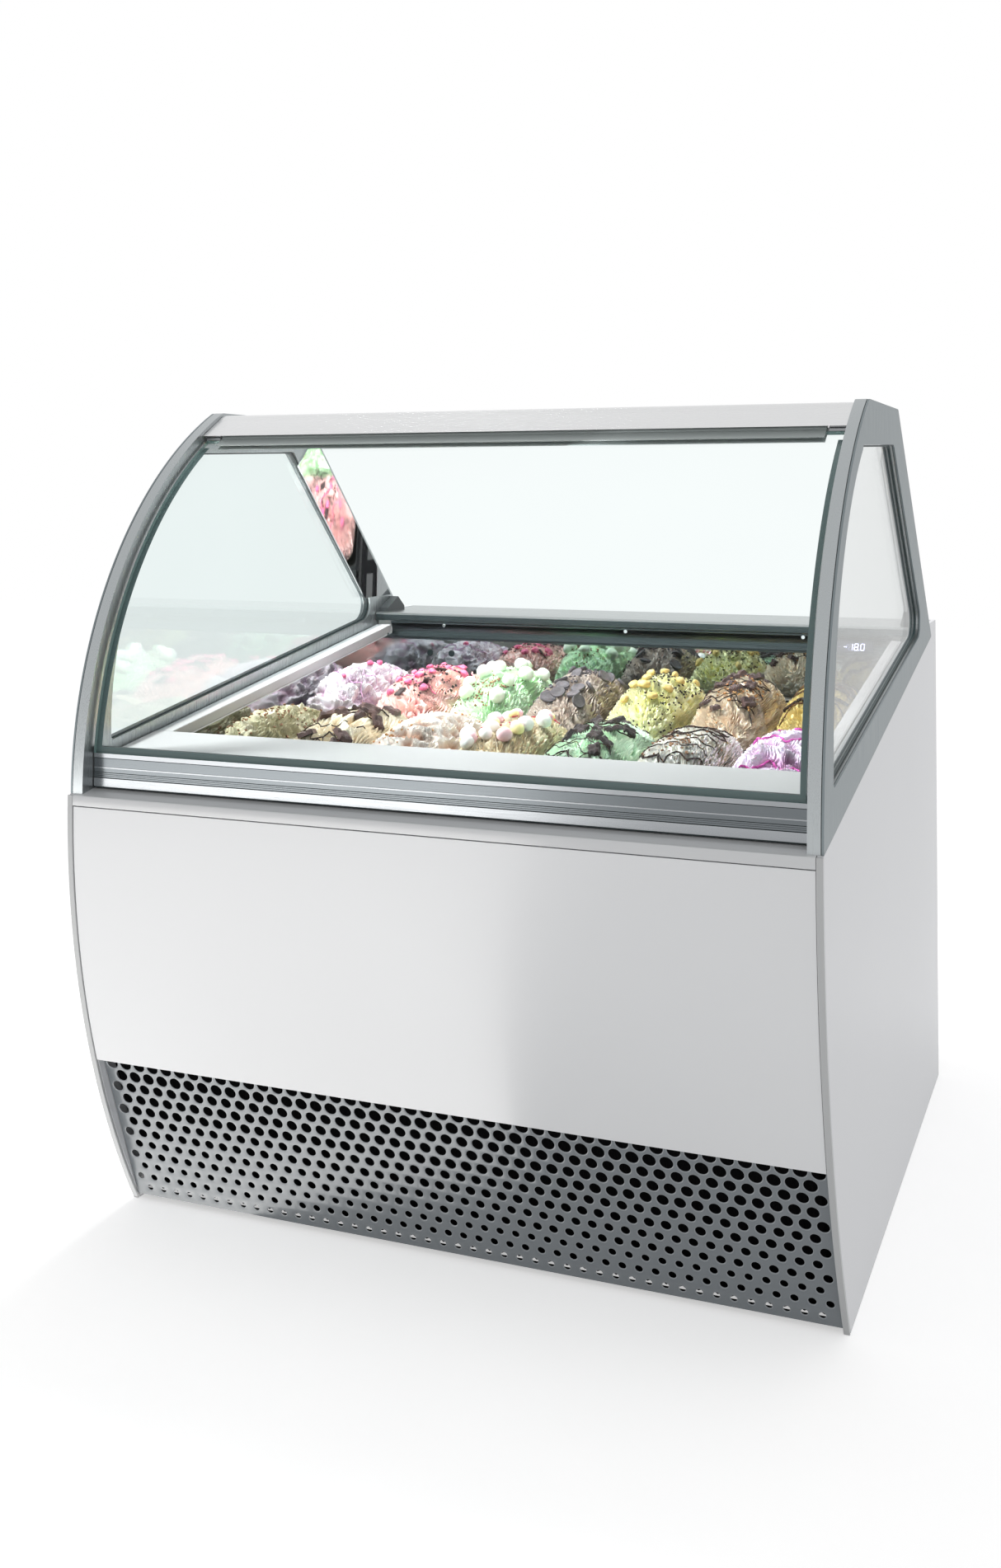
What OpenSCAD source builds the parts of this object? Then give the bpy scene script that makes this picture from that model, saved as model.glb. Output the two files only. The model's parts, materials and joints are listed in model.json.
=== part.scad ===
// Ice cream dipping cabinet: a curved-front display freezer with seven columns of pans in two rows.
// Millimetres, +Z up, +X to the viewer's right, +Y to the rear. The floor is Z = 0, and the origin
// is the middle of the whole cabinet's base. Profile values are measured in Y from the foot of the
// side panels' front edge, and placed() moves them to the origin.

/* [Pans] */
// Width of a pan's flange
pan_w = 165; // [158:1:168]
// Length of a pan's flange
pan_l = 360; // [345:1:362]
// Depth of a pan below its flange
pan_d = 150; // [120:1:152]
// Gap between neighbouring pans
pan_gap = 2; // [1:1:4]
// Sheet thickness of the pans
pan_t = 1.5; // [1:0.1:2]
// Width of a pan's flange lip outside its walls
pan_lip = 8; // [6:1:10]
// Tilt of the pans towards the customer, in degrees
pan_tilt = 4.4; // [3:0.1:5]
// Height of the pan flanges half way along the well
pan_z = 797; // [790:1:800]
// Height of the ice cream above the flange, front row
mound_front = 75; // [40:1:78]
// Height of the ice cream above the flange, rear row
mound_rear = 96; // [50:1:98]

/* [Body] */
// From the well's side wall to the outside of the cabinet
side_band = 64.5; // [64:0.5:75]
// Thickness of the side panels
panel_t = 10; // [8:1:12]
// Radius of the bowed front of the body, in profile
body_r = 1548; // [1548:1:1560]
// Depth of the body at its foot
body_d = 1085; // [1080:1:1100]
// Height of the serving counter at the rear
counter_z = 997; // [996:1:1000]
// Thickness of the serving counter
counter_t = 20; // [15:1:22]
// Height of the joint between the front panel and the ledge
ledge_z = 742; // [735:1:748]
// Height of the joint between the front panel and the grille
skirt_z = 290; // [280:1:300]
// Height of the grille's lower edge above the floor
grille_z = 10; // [8:1:20]
// Thickness of the front sheet
sheet_t = 2; // [1:0.5:3]

/* [Canopy] */
// Height of the top of the side frames
frame_top = 1435; // [1432:1:1440]
// Thickness of the side frames
frame_t = 24.5; // [22:0.5:25]
// Radius of the side frames' curved front edge
frame_r = 759; // [755:1:762]
// Radius of the curved front edge of the side windows
window_r = 560; // [550:1:565]
// Depth of the side glass below the frame's outer face
glass_inset = 11; // [8:1:13]
// Thickness of the side glasses
side_glass_t = 6; // [4:1:8]
// Outer radius of the front glass
glass_r = 740; // [738:1:741]
// Thickness of the front glass
glass_t = 7; // [5:1:8]
// Clearance between the hinge pins and their clips
hinge_fit = 0.05; // [0.02:0.01:0.1]

/* [Machinery] */
// Height of the levelling feet
foot_h = 40; // [30:1:45]
// Radius of the compressor's shell
compressor_r = 80; // [70:1:90]
// Radius of the condenser fan
fan_r = 122; // [100:1:126]

/* [Hidden] */
columns = 7;
wheel_facets = 64;
arc_facets = 240;

// Widths: the well holds the pans side by side, and the cabinet adds a band on each side
well_w = columns * (pan_w + pan_gap) + pan_gap;
cabinet_w = well_w + 2 * side_band;
inner_w = cabinet_w - 2 * panel_t;
canopy_w = cabinet_w - 2 * frame_t;
bar_w = canopy_w - 1;
rail_w = canopy_w - 3;
deck_w = canopy_w - 7;
glass_w = canopy_w - 11;
skirt_w = inner_w - 2;

// Profile centres of the body's bow, the canopy's curve and the window's curve, as [y, z]
body_c = [1357, 745];
frame_c = [576, 762];
window_c = [452, 870];
nose_y = body_c[0] - body_r;
mid_y = (body_d + nose_y) / 2;

// The sill is the slanted joint between the side panels and the frames
sill_z = 760.3;
sill_slope = 0.172;
function sill(y) = sill_z + sill_slope * (y - nose_y);

// Straight edges of the side frames and their windows
frame_back_top = [550, frame_top];
frame_back_foot = [1010, sill(1010)];
frame_back_r = 15;
window_low = [[-107, 842], [873, 992]];
window_high = [[100, 1353], [493, 1366]];
window_r_low = 35;
window_r_high = 25;

// The deck is the slanted rim around the well
deck_z = 842;
deck_slope = 0.15;
deck_t = 20;
deck_front = -152;
deck_back = 862;
well_front = 15;
well_back = 873;
well_floor = 600;
function deck(y) = deck_z + deck_slope * (y - well_front);

// The insulated tank around the well
tank_front = -60;
tank_back = 960;
tank_floor = 500;

// Rail and ledge under the front glass
rail_y = -155;
rail_z = 769;
rail_top = 828;
rail_lip = 3;
rail_depth = 45;
rail_body_top = 796;
ledge_back = -151;
ledge_tail = -125;
gasket_back = -140;
gasket_top = 838;

// Front glass, in degrees around frame_c from the rear, and its hinge
glass_low_a = 174.8;
glass_high_a = 123.65;
hinge_a = 122.9;
clamp_a = 125.2;
clamp_lip = 2;
hinge_r = 8;
pin_r = 4;
holder_w = 1176;
clip_w = 30;
hinge_c = frame_c + (glass_r - glass_t / 2) * [cos(hinge_a), sin(hinge_a)];

// Top bar
bar_r = 752;
bar_low = 1387;
bar_under = 1392;
bar_top = frame_top - 5;
bar_back = 345;
bar_lip_back = 165;

// Grille: a flat perforated sheet between the skirt and the floor
grille_top = [-106, skirt_z];
grille_foot = [-1, grille_z];
grille_run = grille_foot - grille_top;
grille_l = norm(grille_run);
grille_tilt = atan2(grille_run[0], -grille_run[1]);
grille_t = 1.5;
grille_flange = 14;
hole_pitch = 27.7;
row_pitch = 24.5;
holes_long = 46;
hole_d = [21.8, 21.8, 19.5, 19.5, 19.5, 17.2, 17.2, 15.2, 15.2, 12.9, 12.9, 10.9];

// Rear wall of the well
mirror_t = 5;
mirror_low = 840;
mirror_high = 936;
strip_y = 862;
strip_high = counter_z - counter_t;
display_x = 510;
display_w = 80;
display_h = 24;
display_z = 953;
display_t = 1.5;
duct_front = 778;
duct_t = 3;
duct_slots = 14;

// Pan supports, in the tilted frame of the pans
row_gap = 4;
row_v = (pan_l + row_gap) / 2;
pan_mid_y = 394;
bar_h = 18;
bar_t = 10;
edge_bar_t = 6;
cross_t = 14;
cross_gap = 4;
support_l = 748;

// Machine bay
base_z = 43;
base_front = 20;
post_w = 40;
fan_x = 260;
fan_z = 235;
coil_y = 60;
coil_size = [400, 50, 330];
shroud_d = 60;
shroud_t = 2;
shroud_r = 135;
motor_r = 40;
motor_y = 200;
shaft_r = 4;
back_y = 1083;
inlet_x = 455;
inlet_z = 155;
inlet_body = [46, 36, 70];
rocker_y = -4;
rocker_z = 18;
rocker_pin_r = 1.5;
rocker_angle = 8;

FIXED = ["side_panel_left", "side_panel_right", "front_panel", "front_grille", "front_ledge",
    "front_rail", "glass_holder", "front_glass", "glass_gasket", "side_frame_left",
    "side_frame_right", "side_glasses", "pillar_covers", "elbow_blocks", "top_bar", "hinge_clips",
    "deck_rim", "tank", "pan_supports", "air_duct", "rear_counter", "rear_mirror", "control_strip",
    "display", "rear_panel", "chassis", "compressor", "condenser", "fan_rotor", "rocker_switch",
    "power_inlet", "wall_screws"];
ROWS = ["front", "rear"];
PLACES = [for (row = ROWS, column = [1:columns]) str(row, "_", column)];

FLAVOURS = ["darkseagreen", "ivory", "white", "mistyrose", "aquamarine", "oldlace", "lavenderblush",
    "thistle", "pink", "honeydew", "rosybrown", "lemonchiffon", "tan", "burlywood"];

// ---- helpers ----

// Moves a shape drawn in profile coordinates to the model's origin
module placed() {
    translate([0, -mid_y, 0]) children();
}

// Extrudes a [y, z] profile along X, centred
module along_x(length) {
    rotate([90, 0, 90]) linear_extrude(length, center = true) children();
}

// Repeats a shape, mirrored, on the left and on the right
module both_sides() {
    for (side = [0, 1]) mirror([side, 0, 0]) children();
}

// A sheet bent around an X-wise line through c, between two angles
module bent_sheet(c, r_out, thick, from, to, width) {
    translate([0, c[0], c[1]]) rotate([90, 0, 90]) rotate([0, 0, from])
        rotate_extrude(angle = to - from, $fn = arc_facets)
            translate([r_out - thick, -width / 2]) square([thick, width]);
}

// A cylinder along X, centred
module rod_x(r, length) {
    rotate([0, 90, 0]) cylinder(r = r, h = length, center = true, $fn = wheel_facets);
}

// A cylinder that starts at the origin and runs towards the rear
module rod_y(r, length) {
    rotate([-90, 0, 0]) cylinder(r = r, h = length, $fn = wheel_facets);
}

function unit(v) = v / norm(v);

// The round corner of radius r at point p, between its neighbours a and b
function corner(a, p, b, r, steps = 8) =
    let(u = unit(a - p), v = unit(b - p), half = acos(u * v) / 2,
        c = p + unit(u + v) * r / sin(half),
        first = p + u * r / tan(half) - c, last = p + v * r / tan(half) - c,
        start = atan2(first[1], first[0]),
        turn = (atan2(last[1], last[0]) - start + 540) % 360 - 180)
    [for (i = [0:steps]) c + r * [cos(start + turn * i / steps), sin(start + turn * i / steps)]];

// Y of the frames' straight rear edge at height z
function frame_back(z) = frame_back_top[0]
    + (frame_top - z) * (frame_back_foot[0] - frame_back_top[0]) / (frame_top - frame_back_foot[1]);

// ---- outlines in profile ----

module side_panel_outline() {
    front = nose_y - 50;
    intersection() {
        translate(body_c) circle(body_r, $fn = arc_facets);
        polygon([[front, 0], [body_d, 0], [body_d, counter_z], [frame_back(counter_z), counter_z],
            frame_back_foot, [front, sill(front)]]);
    }
}

module window_outline() {
    low_front = window_low[0];
    low_back = window_low[1];
    high_front = window_high[0];
    high_back = window_high[1];
    intersection() {
        translate(window_c) circle(window_r, $fn = arc_facets);
        polygon(concat([low_front - [50, 7.6]],
            corner(low_front, low_back, high_back, window_r_low),
            corner(low_back, high_back, high_front, window_r_high),
            [high_front - [250, 8]]));
    }
}

module frame_outline() {
    front = nose_y - 50;
    foot = [front, sill(front)];
    top = [front, frame_top];
    difference() {
        intersection() {
            translate(frame_c) circle(frame_r, $fn = arc_facets);
            polygon(concat([foot, top],
                corner(top, frame_back_top, frame_back_foot, frame_back_r),
                [frame_back_foot]));
        }
        window_outline();
    }
}

// ---- body ----

module side_panel(side) {
    color("gainsboro") placed() translate([side * (cabinet_w - panel_t) / 2, 0, 0])
        along_x(panel_t) side_panel_outline();
}

module front_panel() {
    r = body_r - 2;
    high = 180 + asin((body_c[1] - ledge_z) / r);
    low = 180 + asin((body_c[1] - skirt_z) / r);
    color("whitesmoke") placed() bent_sheet(body_c, r, sheet_t, high, low, inner_w);
}

module front_ledge() {
    color("silver") placed() along_x(inner_w)
        polygon([[nose_y, ledge_z], [nose_y, sill_z], [ledge_back, sill(ledge_back)],
            [ledge_tail, sill(ledge_back)], [ledge_tail, ledge_z]]);
}

module front_rail() {
    color("lightgray") placed() along_x(rail_w)
        polygon([[rail_y, rail_z], [rail_y, rail_top], [rail_y + rail_lip, rail_top],
            [rail_y + rail_lip, rail_body_top], [rail_y + rail_depth, rail_body_top],
            [rail_y + rail_depth, rail_z]]);
}

module grille_holes() {
    rows = len(hole_d);
    margin = (grille_l - row_pitch * (rows - 1)) / 2;
    for (row = [0:rows - 1]) {
        count = holes_long - row % 2;
        for (hole = [0:count - 1])
            translate([(hole - (count - 1) / 2) * hole_pitch, -margin - row * row_pitch])
                circle(d = hole_d[row], $fn = 24);
    }
}

module front_grille() {
    color("darkgray") placed() translate([0, grille_top[0], grille_top[1]])
        rotate([grille_tilt, 0, 0]) union() {
            translate([0, grille_t, 0]) rotate([90, 0, 0]) linear_extrude(grille_t) difference() {
                translate([-skirt_w / 2, -grille_l]) square([skirt_w, grille_l]);
                grille_holes();
            }
            for (z = [-grille_t, -grille_l])
                translate([-skirt_w / 2, grille_t / 2, z]) cube([skirt_w, grille_flange, grille_t]);
        }
}

module rear_panel() {
    slot = [220, 7];
    slot_columns = [-440, -110, 220];
    slot_rows = 20;
    slot_pitch = 18;
    slots_low = 260;
    cut = [inlet_body[0] + 1, inlet_body[2] + 1];
    color("lightgray") placed() translate([0, back_y, 0]) rotate([90, 0, 0])
        linear_extrude(sheet_t) difference() {
            translate([-skirt_w / 2, grille_z]) square([skirt_w, strip_high - grille_z]);
            translate([inlet_x, inlet_z]) square(cut, center = true);
            for (x = slot_columns, row = [0:slot_rows - 1])
                translate([x - slot[0] / 2, slots_low + row * slot_pitch]) square(slot);
        }
}

module rear_counter() {
    waist_y = 1006;
    foot_y = 860;
    color("lightgray") placed() translate([0, 0, strip_high]) linear_extrude(counter_t)
        polygon([[-rail_w / 2, foot_y], [rail_w / 2, foot_y], [rail_w / 2, waist_y],
            [inner_w / 2, waist_y], [inner_w / 2, body_d], [-inner_w / 2, body_d],
            [-inner_w / 2, waist_y], [-rail_w / 2, waist_y]]);
}

// ---- canopy ----

module side_frame(side) {
    color("silver") placed() translate([side * (cabinet_w - frame_t) / 2, 0, 0])
        along_x(frame_t) frame_outline();
}

module side_glasses() {
    x = cabinet_w / 2 - glass_inset - side_glass_t / 2;
    color("lightcyan", 0.4) placed() both_sides() translate([x, 0, 0])
        along_x(side_glass_t) window_outline();
}

// Polished plates on the inner faces of the frames' rear posts
module pillar_covers() {
    cover_t = 3;
    top_z = 1400;
    low_z = 1034;
    setback = 13;
    width = [66, 64];
    foot_w = width[0] + frame_back(low_z - width[1]) - frame_back(low_z);
    top = [frame_back(top_z) - setback, top_z];
    low = [frame_back(low_z) - setback, low_z];
    color("silver") placed() both_sides() translate([canopy_w / 2 - cover_t / 2, 0, 0])
        along_x(cover_t) polygon([top, low, low - [foot_w, 0], top - width]);
}

module elbow_blocks() {
    block_t = 22;
    block_l = 90;
    shoulder = [2, 9];
    peak = [34, 33];
    back = frame_back(counter_z) - 13;
    color("dimgray") placed() both_sides() translate([canopy_w / 2 - block_t / 2, back, counter_z])
        along_x(block_t) polygon([[0, 0], [-shoulder[0], shoulder[1]], [-peak[0], peak[1]],
                [shoulder[0] * 2 - block_l, shoulder[1]], [-block_l, 0]]);
}

module top_bar() {
    front = 100;
    color("gainsboro") placed() along_x(bar_w) intersection() {
        translate(frame_c) circle(bar_r, $fn = arc_facets);
        polygon([[front, bar_low], [bar_lip_back, bar_low], [bar_lip_back, bar_under],
            [bar_back, bar_under], [bar_back, bar_top], [front, bar_top]]);
    }
}

module hinge_clips() {
    x = (holder_w + clip_w) / 2 + 4;
    color("dimgray") placed() both_sides() translate([x, 0, 0]) along_x(clip_w) difference() {
        union() {
            translate(hinge_c) circle(hinge_r, $fn = wheel_facets);
            translate([hinge_c[0] - 6, hinge_c[1]]) square([12, bar_under - hinge_c[1]]);
        }
        translate(hinge_c) circle(pin_r + hinge_fit, $fn = wheel_facets);
    }
}

module glass_holder() {
    pin_l = holder_w + 2 * clip_w + 6;
    color("white") placed() union() {
        translate([0, hinge_c[0], hinge_c[1]]) rod_x(pin_r, pin_l);
        difference() {
            union() {
                translate([0, hinge_c[0], hinge_c[1]]) rod_x(hinge_r, holder_w);
                bent_sheet(frame_c, glass_r + clamp_lip, glass_t + 2 * clamp_lip, hinge_a,
                    clamp_a, holder_w);
            }
            bent_sheet(frame_c, glass_r, glass_t, glass_high_a, clamp_a + 1, cabinet_w);
        }
    }
}

module front_glass() {
    color("lightcyan", 0.4) placed()
        bent_sheet(frame_c, glass_r, glass_t, glass_high_a, glass_low_a, glass_w);
}

module glass_gasket() {
    color("darkslategray") placed() along_x(deck_w)
        polygon([[deck_front, deck(deck_front)], [gasket_back, deck(gasket_back)],
            [gasket_back, gasket_top], [deck_front, gasket_top]]);
}

// ---- well ----

module deck_rim() {
    color("whitesmoke") placed() difference() {
        along_x(deck_w) polygon([[deck_front, deck(deck_front)], [deck_back, deck(deck_back)],
            [deck_back, deck(deck_back) - deck_t], [deck_front, deck(deck_front) - deck_t]]);
        translate([-well_w / 2, well_front, deck_z - 100]) cube([well_w, deck_back, 400]);
    }
}

module tank() {
    cavity_w = well_w + 1;
    color("white") placed() difference() {
        along_x(rail_w) polygon([[tank_front, tank_floor], [tank_back, tank_floor],
            [tank_back, strip_high - 1], [well_back, strip_high - 1],
            [well_back, deck(well_back) - deck_t], [tank_front, deck(tank_front) - deck_t]]);
        translate([-cavity_w / 2, well_front, well_floor])
            cube([cavity_w, well_back - well_front, 500]);
    }
}

// Places a shape in the tilted frame of the pans: X across, Y up the slope, Z off the flanges
module in_pan_frame() {
    placed() translate([0, pan_mid_y, pan_z]) rotate([pan_tilt, 0, 0]) children();
}

module pan_supports() {
    pitch = pan_w + pan_gap;
    under = -pan_t - bar_h;
    cross_v = 2 * row_v - row_gap / 2 - pan_lip + cross_t / 2 + cross_gap;
    color("black") in_pan_frame() {
        for (i = [1:columns - 1])
            translate([(i - columns / 2) * pitch - bar_t / 2, -support_l / 2, under])
                cube([bar_t, support_l, bar_h]);
        for (x = [-well_w / 2, well_w / 2 - edge_bar_t])
            translate([x, -support_l / 2, under]) cube([edge_bar_t, support_l, bar_h]);
        for (v = [-cross_v, 0, cross_v])
            translate([-well_w / 2, v - cross_t / 2, under - cross_t])
                cube([well_w, cross_t, cross_t]);
    }
}

// Black cover of the cold-air duct behind the pans
module air_duct() {
    slope = tan(pan_tilt);
    top = pan_z + slope * (duct_front - pan_mid_y);
    back = well_back - mirror_t - 2;
    duct_w = well_w - 2;
    slot_pitch = duct_w / duct_slots;
    slot = [slot_pitch * 0.7, 30, 60];
    color("black") placed() difference() {
        along_x(duct_w) polygon([[duct_front, well_floor + 2], [duct_front, top],
            [back, top + slope * (back - duct_front)],
            [back, top + slope * (back - duct_front) - duct_t],
            [duct_front + duct_t, top - duct_t], [duct_front + duct_t, well_floor + 2]]);
        for (i = [0:duct_slots - 1])
            translate([(i - (duct_slots - 1) / 2) * slot_pitch, (duct_front + back) / 2, top])
                cube(slot, center = true);
    }
}

module rear_mirror() {
    color("silver") placed() translate([-well_w / 2, well_back - mirror_t, mirror_low])
        cube([well_w, mirror_t, mirror_high - mirror_low]);
}

module control_strip() {
    color("lightgray") placed() translate([-well_w / 2, strip_y, mirror_high])
        cube([well_w, well_back - strip_y, strip_high - mirror_high]);
}

module display() {
    color("dimgray") placed() translate([display_x - display_w / 2, strip_y - display_t,
        display_z - display_h / 2]) cube([display_w, display_t, display_h]);
}

module wall_screws() {
    head_r = 4;
    head_h = 2;
    rear_x = [-446, 0, 400];
    rear_z = 970;
    side_place = [845, 947];
    color("darkgray") placed() {
        for (x = rear_x) translate([x, strip_y - head_h, rear_z]) rod_y(head_r, head_h);
        for (side = [-1, 1])
            translate([side * (well_w / 2 - head_h / 2), side_place[0], side_place[1]])
                rod_x(head_r, head_h);
    }
}

module at_pan(row, column) {
    pitch = pan_w + pan_gap;
    in_pan_frame() translate([(column - (columns + 1) / 2) * pitch, (row * 2 - 1) * row_v, 0])
        children();
}

module pan(row, column) {
    body = [pan_w - 2 * pan_lip, pan_l - 2 * pan_lip];
    color("dimgray") at_pan(row, column) difference() {
        union() {
            translate([-pan_w / 2, -pan_l / 2, -pan_t]) cube([pan_w, pan_l, pan_t]);
            translate([-body[0] / 2, -body[1] / 2, -pan_d]) cube([body[0], body[1], pan_d]);
        }
        translate([pan_t - body[0] / 2, pan_t - body[1] / 2, pan_t - pan_d])
            cube([body[0] - 2 * pan_t, body[1] - 2 * pan_t, pan_d]);
    }
}

// Half of an ellipse standing on a short straight foot
function dome(half, rise, foot = 1, steps = 12) =
    concat([for (i = [0:steps]) [half * cos(180 * i / steps), rise * sin(180 * i / steps)]],
        [[-half, -foot], [half, -foot]]);

// Ice cream: it fills the pan and stands above the flange as a long dome
module gelato(row, column) {
    inner = [pan_w - 2 * pan_lip - 2 * pan_t, pan_l - 2 * pan_lip - 2 * pan_t];
    rise = row == 0 ? mound_front : mound_rear;
    edge = 0.5;
    color(FLAVOURS[row * columns + column - 1]) at_pan(row, column) union() {
        translate([-inner[0] / 2, -inner[1] / 2, pan_t - pan_d])
            cube([inner[0], inner[1], pan_d - pan_t]);
        intersection() {
            rotate([90, 0, 0]) linear_extrude(inner[1] - 2 * edge, center = true)
                polygon(dome(inner[0] / 2 - edge, rise));
            along_x(inner[0] - 2 * edge) polygon(dome(inner[1] / 2 - edge, rise));
        }
    }
}

// ---- machine bay ----

module chassis() {
    plate_t = 3;
    foot_x = inner_w / 2 - 60;
    foot_y = [80, 900];
    pad_r = 22;
    pad_h = 8;
    stud_r = 8;
    feet = [for (x = [-foot_x, foot_x], y = foot_y) [x, y]];
    color("dimgray") placed() {
        union() {
            translate([-inner_w / 2, base_front, base_z - plate_t])
                cube([inner_w, back_y - 10 - base_front, plate_t]);
            for (foot = feet)
                translate([foot[0] - post_w / 2, foot[1] - post_w / 2, base_z - 1])
                    cube([post_w, post_w, tank_floor - base_z + 1]);
        }
        for (foot = feet) translate([foot[0], foot[1], 0]) {
            cylinder(r = pad_r, h = pad_h, $fn = wheel_facets);
            translate([0, 0, pad_h - 1])
                cylinder(r = stud_r, h = foot_h - pad_h + 1, $fn = wheel_facets);
        }
    }
}

module compressor() {
    place = [-330, 560, base_z];
    mounting_plate = [220, 180, 4];
    shell_h = 170;
    dome_r = 115;
    color("black") placed() translate(place) union() {
        translate([-mounting_plate[0] / 2, -mounting_plate[1] / 2, 0]) cube(mounting_plate);
        intersection() {
            cylinder(r = compressor_r, h = shell_h + dome_r, $fn = wheel_facets);
            translate([0, 0, shell_h - sqrt(pow(dome_r, 2) - pow(compressor_r, 2))])
                sphere(r = dome_r, $fn = arc_facets);
        }
        translate([0, 0, 2]) cylinder(r = compressor_r, h = shell_h - 2, $fn = wheel_facets);
    }
}

// Condenser coil with its fan shroud, the fan's motor and the motor's struts
module condenser() {
    x = fan_x - coil_size[0] / 2;
    z = fan_z - coil_size[2] / 2;
    shroud_y = coil_y + coil_size[1];
    plate_y = shroud_y + shroud_d;
    color("slategray") placed() {
        translate([x, coil_y, z]) cube(coil_size);
        difference() {
            translate([x, shroud_y, z]) cube([coil_size[0], shroud_d, coil_size[2]]);
            translate([x + shroud_t, shroud_y - 1, z + shroud_t])
                cube([coil_size[0] - 2 * shroud_t, shroud_d - shroud_t + 1,
                    coil_size[2] - 2 * shroud_t]);
            translate([fan_x, shroud_y, fan_z]) rod_y(shroud_r, shroud_d + 1);
        }
        union() {
            translate([fan_x, motor_y, fan_z]) rod_y(motor_r, 60);
            translate([fan_x, plate_y - 14, fan_z]) rod_y(shaft_r, motor_y - plate_y + 15);
            for (turn = [90, 210, 330]) translate([fan_x, 0, fan_z]) rotate([0, turn, 0]) {
                translate([motor_r - 4, motor_y + 20, -5]) cube([shroud_r + 9 - motor_r, 3, 10]);
                translate([shroud_r + 2, plate_y, -5]) cube([3, motor_y + 23 - plate_y, 10]);
            }
        }
    }
}

module fan_rotor() {
    hub_r = 32;
    hub_l = 36;
    hub_y = coil_y + coil_size[1] + shroud_d - 16;
    color("gray") placed() translate([fan_x, hub_y, fan_z]) difference() {
        union() {
            rod_y(hub_r, hub_l);
            for (blade = [0:4]) rotate([0, blade * 72, 0]) translate([hub_r - 4, hub_l / 2, 0])
                rotate([28, 0, 0]) translate([0, -1, -28]) cube([fan_r - hub_r, 2, 56]);
        }
        translate([0, -1, 0]) rod_y(shaft_r + 0.05, hub_l + 2);
    }
}

// Mains inlet with its built-in switch frame, in the rear panel
module power_inlet() {
    plate = [54, 2, 80];
    body = inlet_body;
    socket = [26, 20, 18];
    socket_z = -16;
    window = [24, 16, 20];
    pin = [2, 13, 4];
    pin_pitch = 7;
    color("black") placed() translate([inlet_x, back_y, inlet_z]) {
        difference() {
            union() {
                translate([-plate[0] / 2, 0, -plate[2] / 2]) cube(plate);
                translate([-body[0] / 2, -body[1], -body[2] / 2])
                    cube([body[0], body[1] + plate[1] / 2, body[2]]);
            }
            translate([-socket[0] / 2, plate[1] - socket[1], socket_z - socket[2] / 2])
                cube([socket[0], socket[1] + 1, socket[2]]);
            translate([-window[0] / 2, plate[1] - window[1], rocker_z - window[2] / 2])
                cube([window[0], window[1] + 1, window[2]]);
        }
        for (x = [-pin_pitch, 0, pin_pitch])
            translate([x - pin[0] / 2, plate[1] - 1 - socket[1], socket_z - pin[2] / 2]) cube(pin);
        translate([0, rocker_y, rocker_z]) rod_x(rocker_pin_r, window[0]);
    }
}

module rocker_switch() {
    rocker_w = 22;
    outline = [[3, -8.5], [3, 8.5], [-2.5, 6], [-4, 0], [-2.5, -6]];
    color("darkred") placed() translate([inlet_x, back_y + rocker_y, inlet_z + rocker_z])
        rotate([-rocker_angle, 0, 0]) along_x(rocker_w) difference() {
            polygon(outline);
            circle(rocker_pin_r + hinge_fit, $fn = wheel_facets);
        }
}

// ---- the nodes ----

side_panel(-1);  // side_panel_left
side_panel(1);  // side_panel_right
front_panel();
front_grille();
front_ledge();
front_rail();
glass_holder();
front_glass();
glass_gasket();
side_frame(-1);  // side_frame_left
side_frame(1);  // side_frame_right
side_glasses();
pillar_covers();
elbow_blocks();
top_bar();
hinge_clips();
deck_rim();
tank();
pan_supports();
air_duct();
rear_counter();
rear_mirror();
control_strip();
display();
rear_panel();
chassis();
compressor();
condenser();
fan_rotor();
rocker_switch();
power_inlet();
wall_screws();
for (row = [0:1], column = [1:columns]) {
    place = str(ROWS[row], "_", column);
    pan(row, column);
    gelato(row, column);
}
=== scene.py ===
"""Ice cream dipping cabinet: the looks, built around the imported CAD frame. Metres, +Z up, front at -Y."""

import json
import math

import bmesh
import bpy
import numpy as np
from mathutils import Matrix, Vector

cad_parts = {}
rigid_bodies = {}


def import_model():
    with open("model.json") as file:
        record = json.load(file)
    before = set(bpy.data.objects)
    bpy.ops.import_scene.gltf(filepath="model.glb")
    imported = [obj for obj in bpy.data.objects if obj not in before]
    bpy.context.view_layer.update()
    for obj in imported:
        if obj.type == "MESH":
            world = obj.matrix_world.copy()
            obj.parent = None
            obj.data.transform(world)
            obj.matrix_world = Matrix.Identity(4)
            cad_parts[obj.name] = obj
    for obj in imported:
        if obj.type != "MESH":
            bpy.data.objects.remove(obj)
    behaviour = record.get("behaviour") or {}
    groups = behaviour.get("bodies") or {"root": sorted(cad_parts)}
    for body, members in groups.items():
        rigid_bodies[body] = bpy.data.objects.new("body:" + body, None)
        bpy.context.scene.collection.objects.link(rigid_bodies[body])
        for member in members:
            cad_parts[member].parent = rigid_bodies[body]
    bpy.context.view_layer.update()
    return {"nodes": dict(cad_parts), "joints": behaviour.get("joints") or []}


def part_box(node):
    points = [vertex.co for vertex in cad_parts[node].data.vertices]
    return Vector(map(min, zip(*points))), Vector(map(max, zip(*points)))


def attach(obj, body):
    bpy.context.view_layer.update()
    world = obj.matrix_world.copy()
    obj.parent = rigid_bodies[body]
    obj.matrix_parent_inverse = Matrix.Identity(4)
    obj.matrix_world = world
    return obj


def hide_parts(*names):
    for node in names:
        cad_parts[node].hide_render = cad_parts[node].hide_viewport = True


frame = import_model()
NODES = frame["nodes"]
MM = 0.001

# ---- places read from the frame ----

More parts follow.
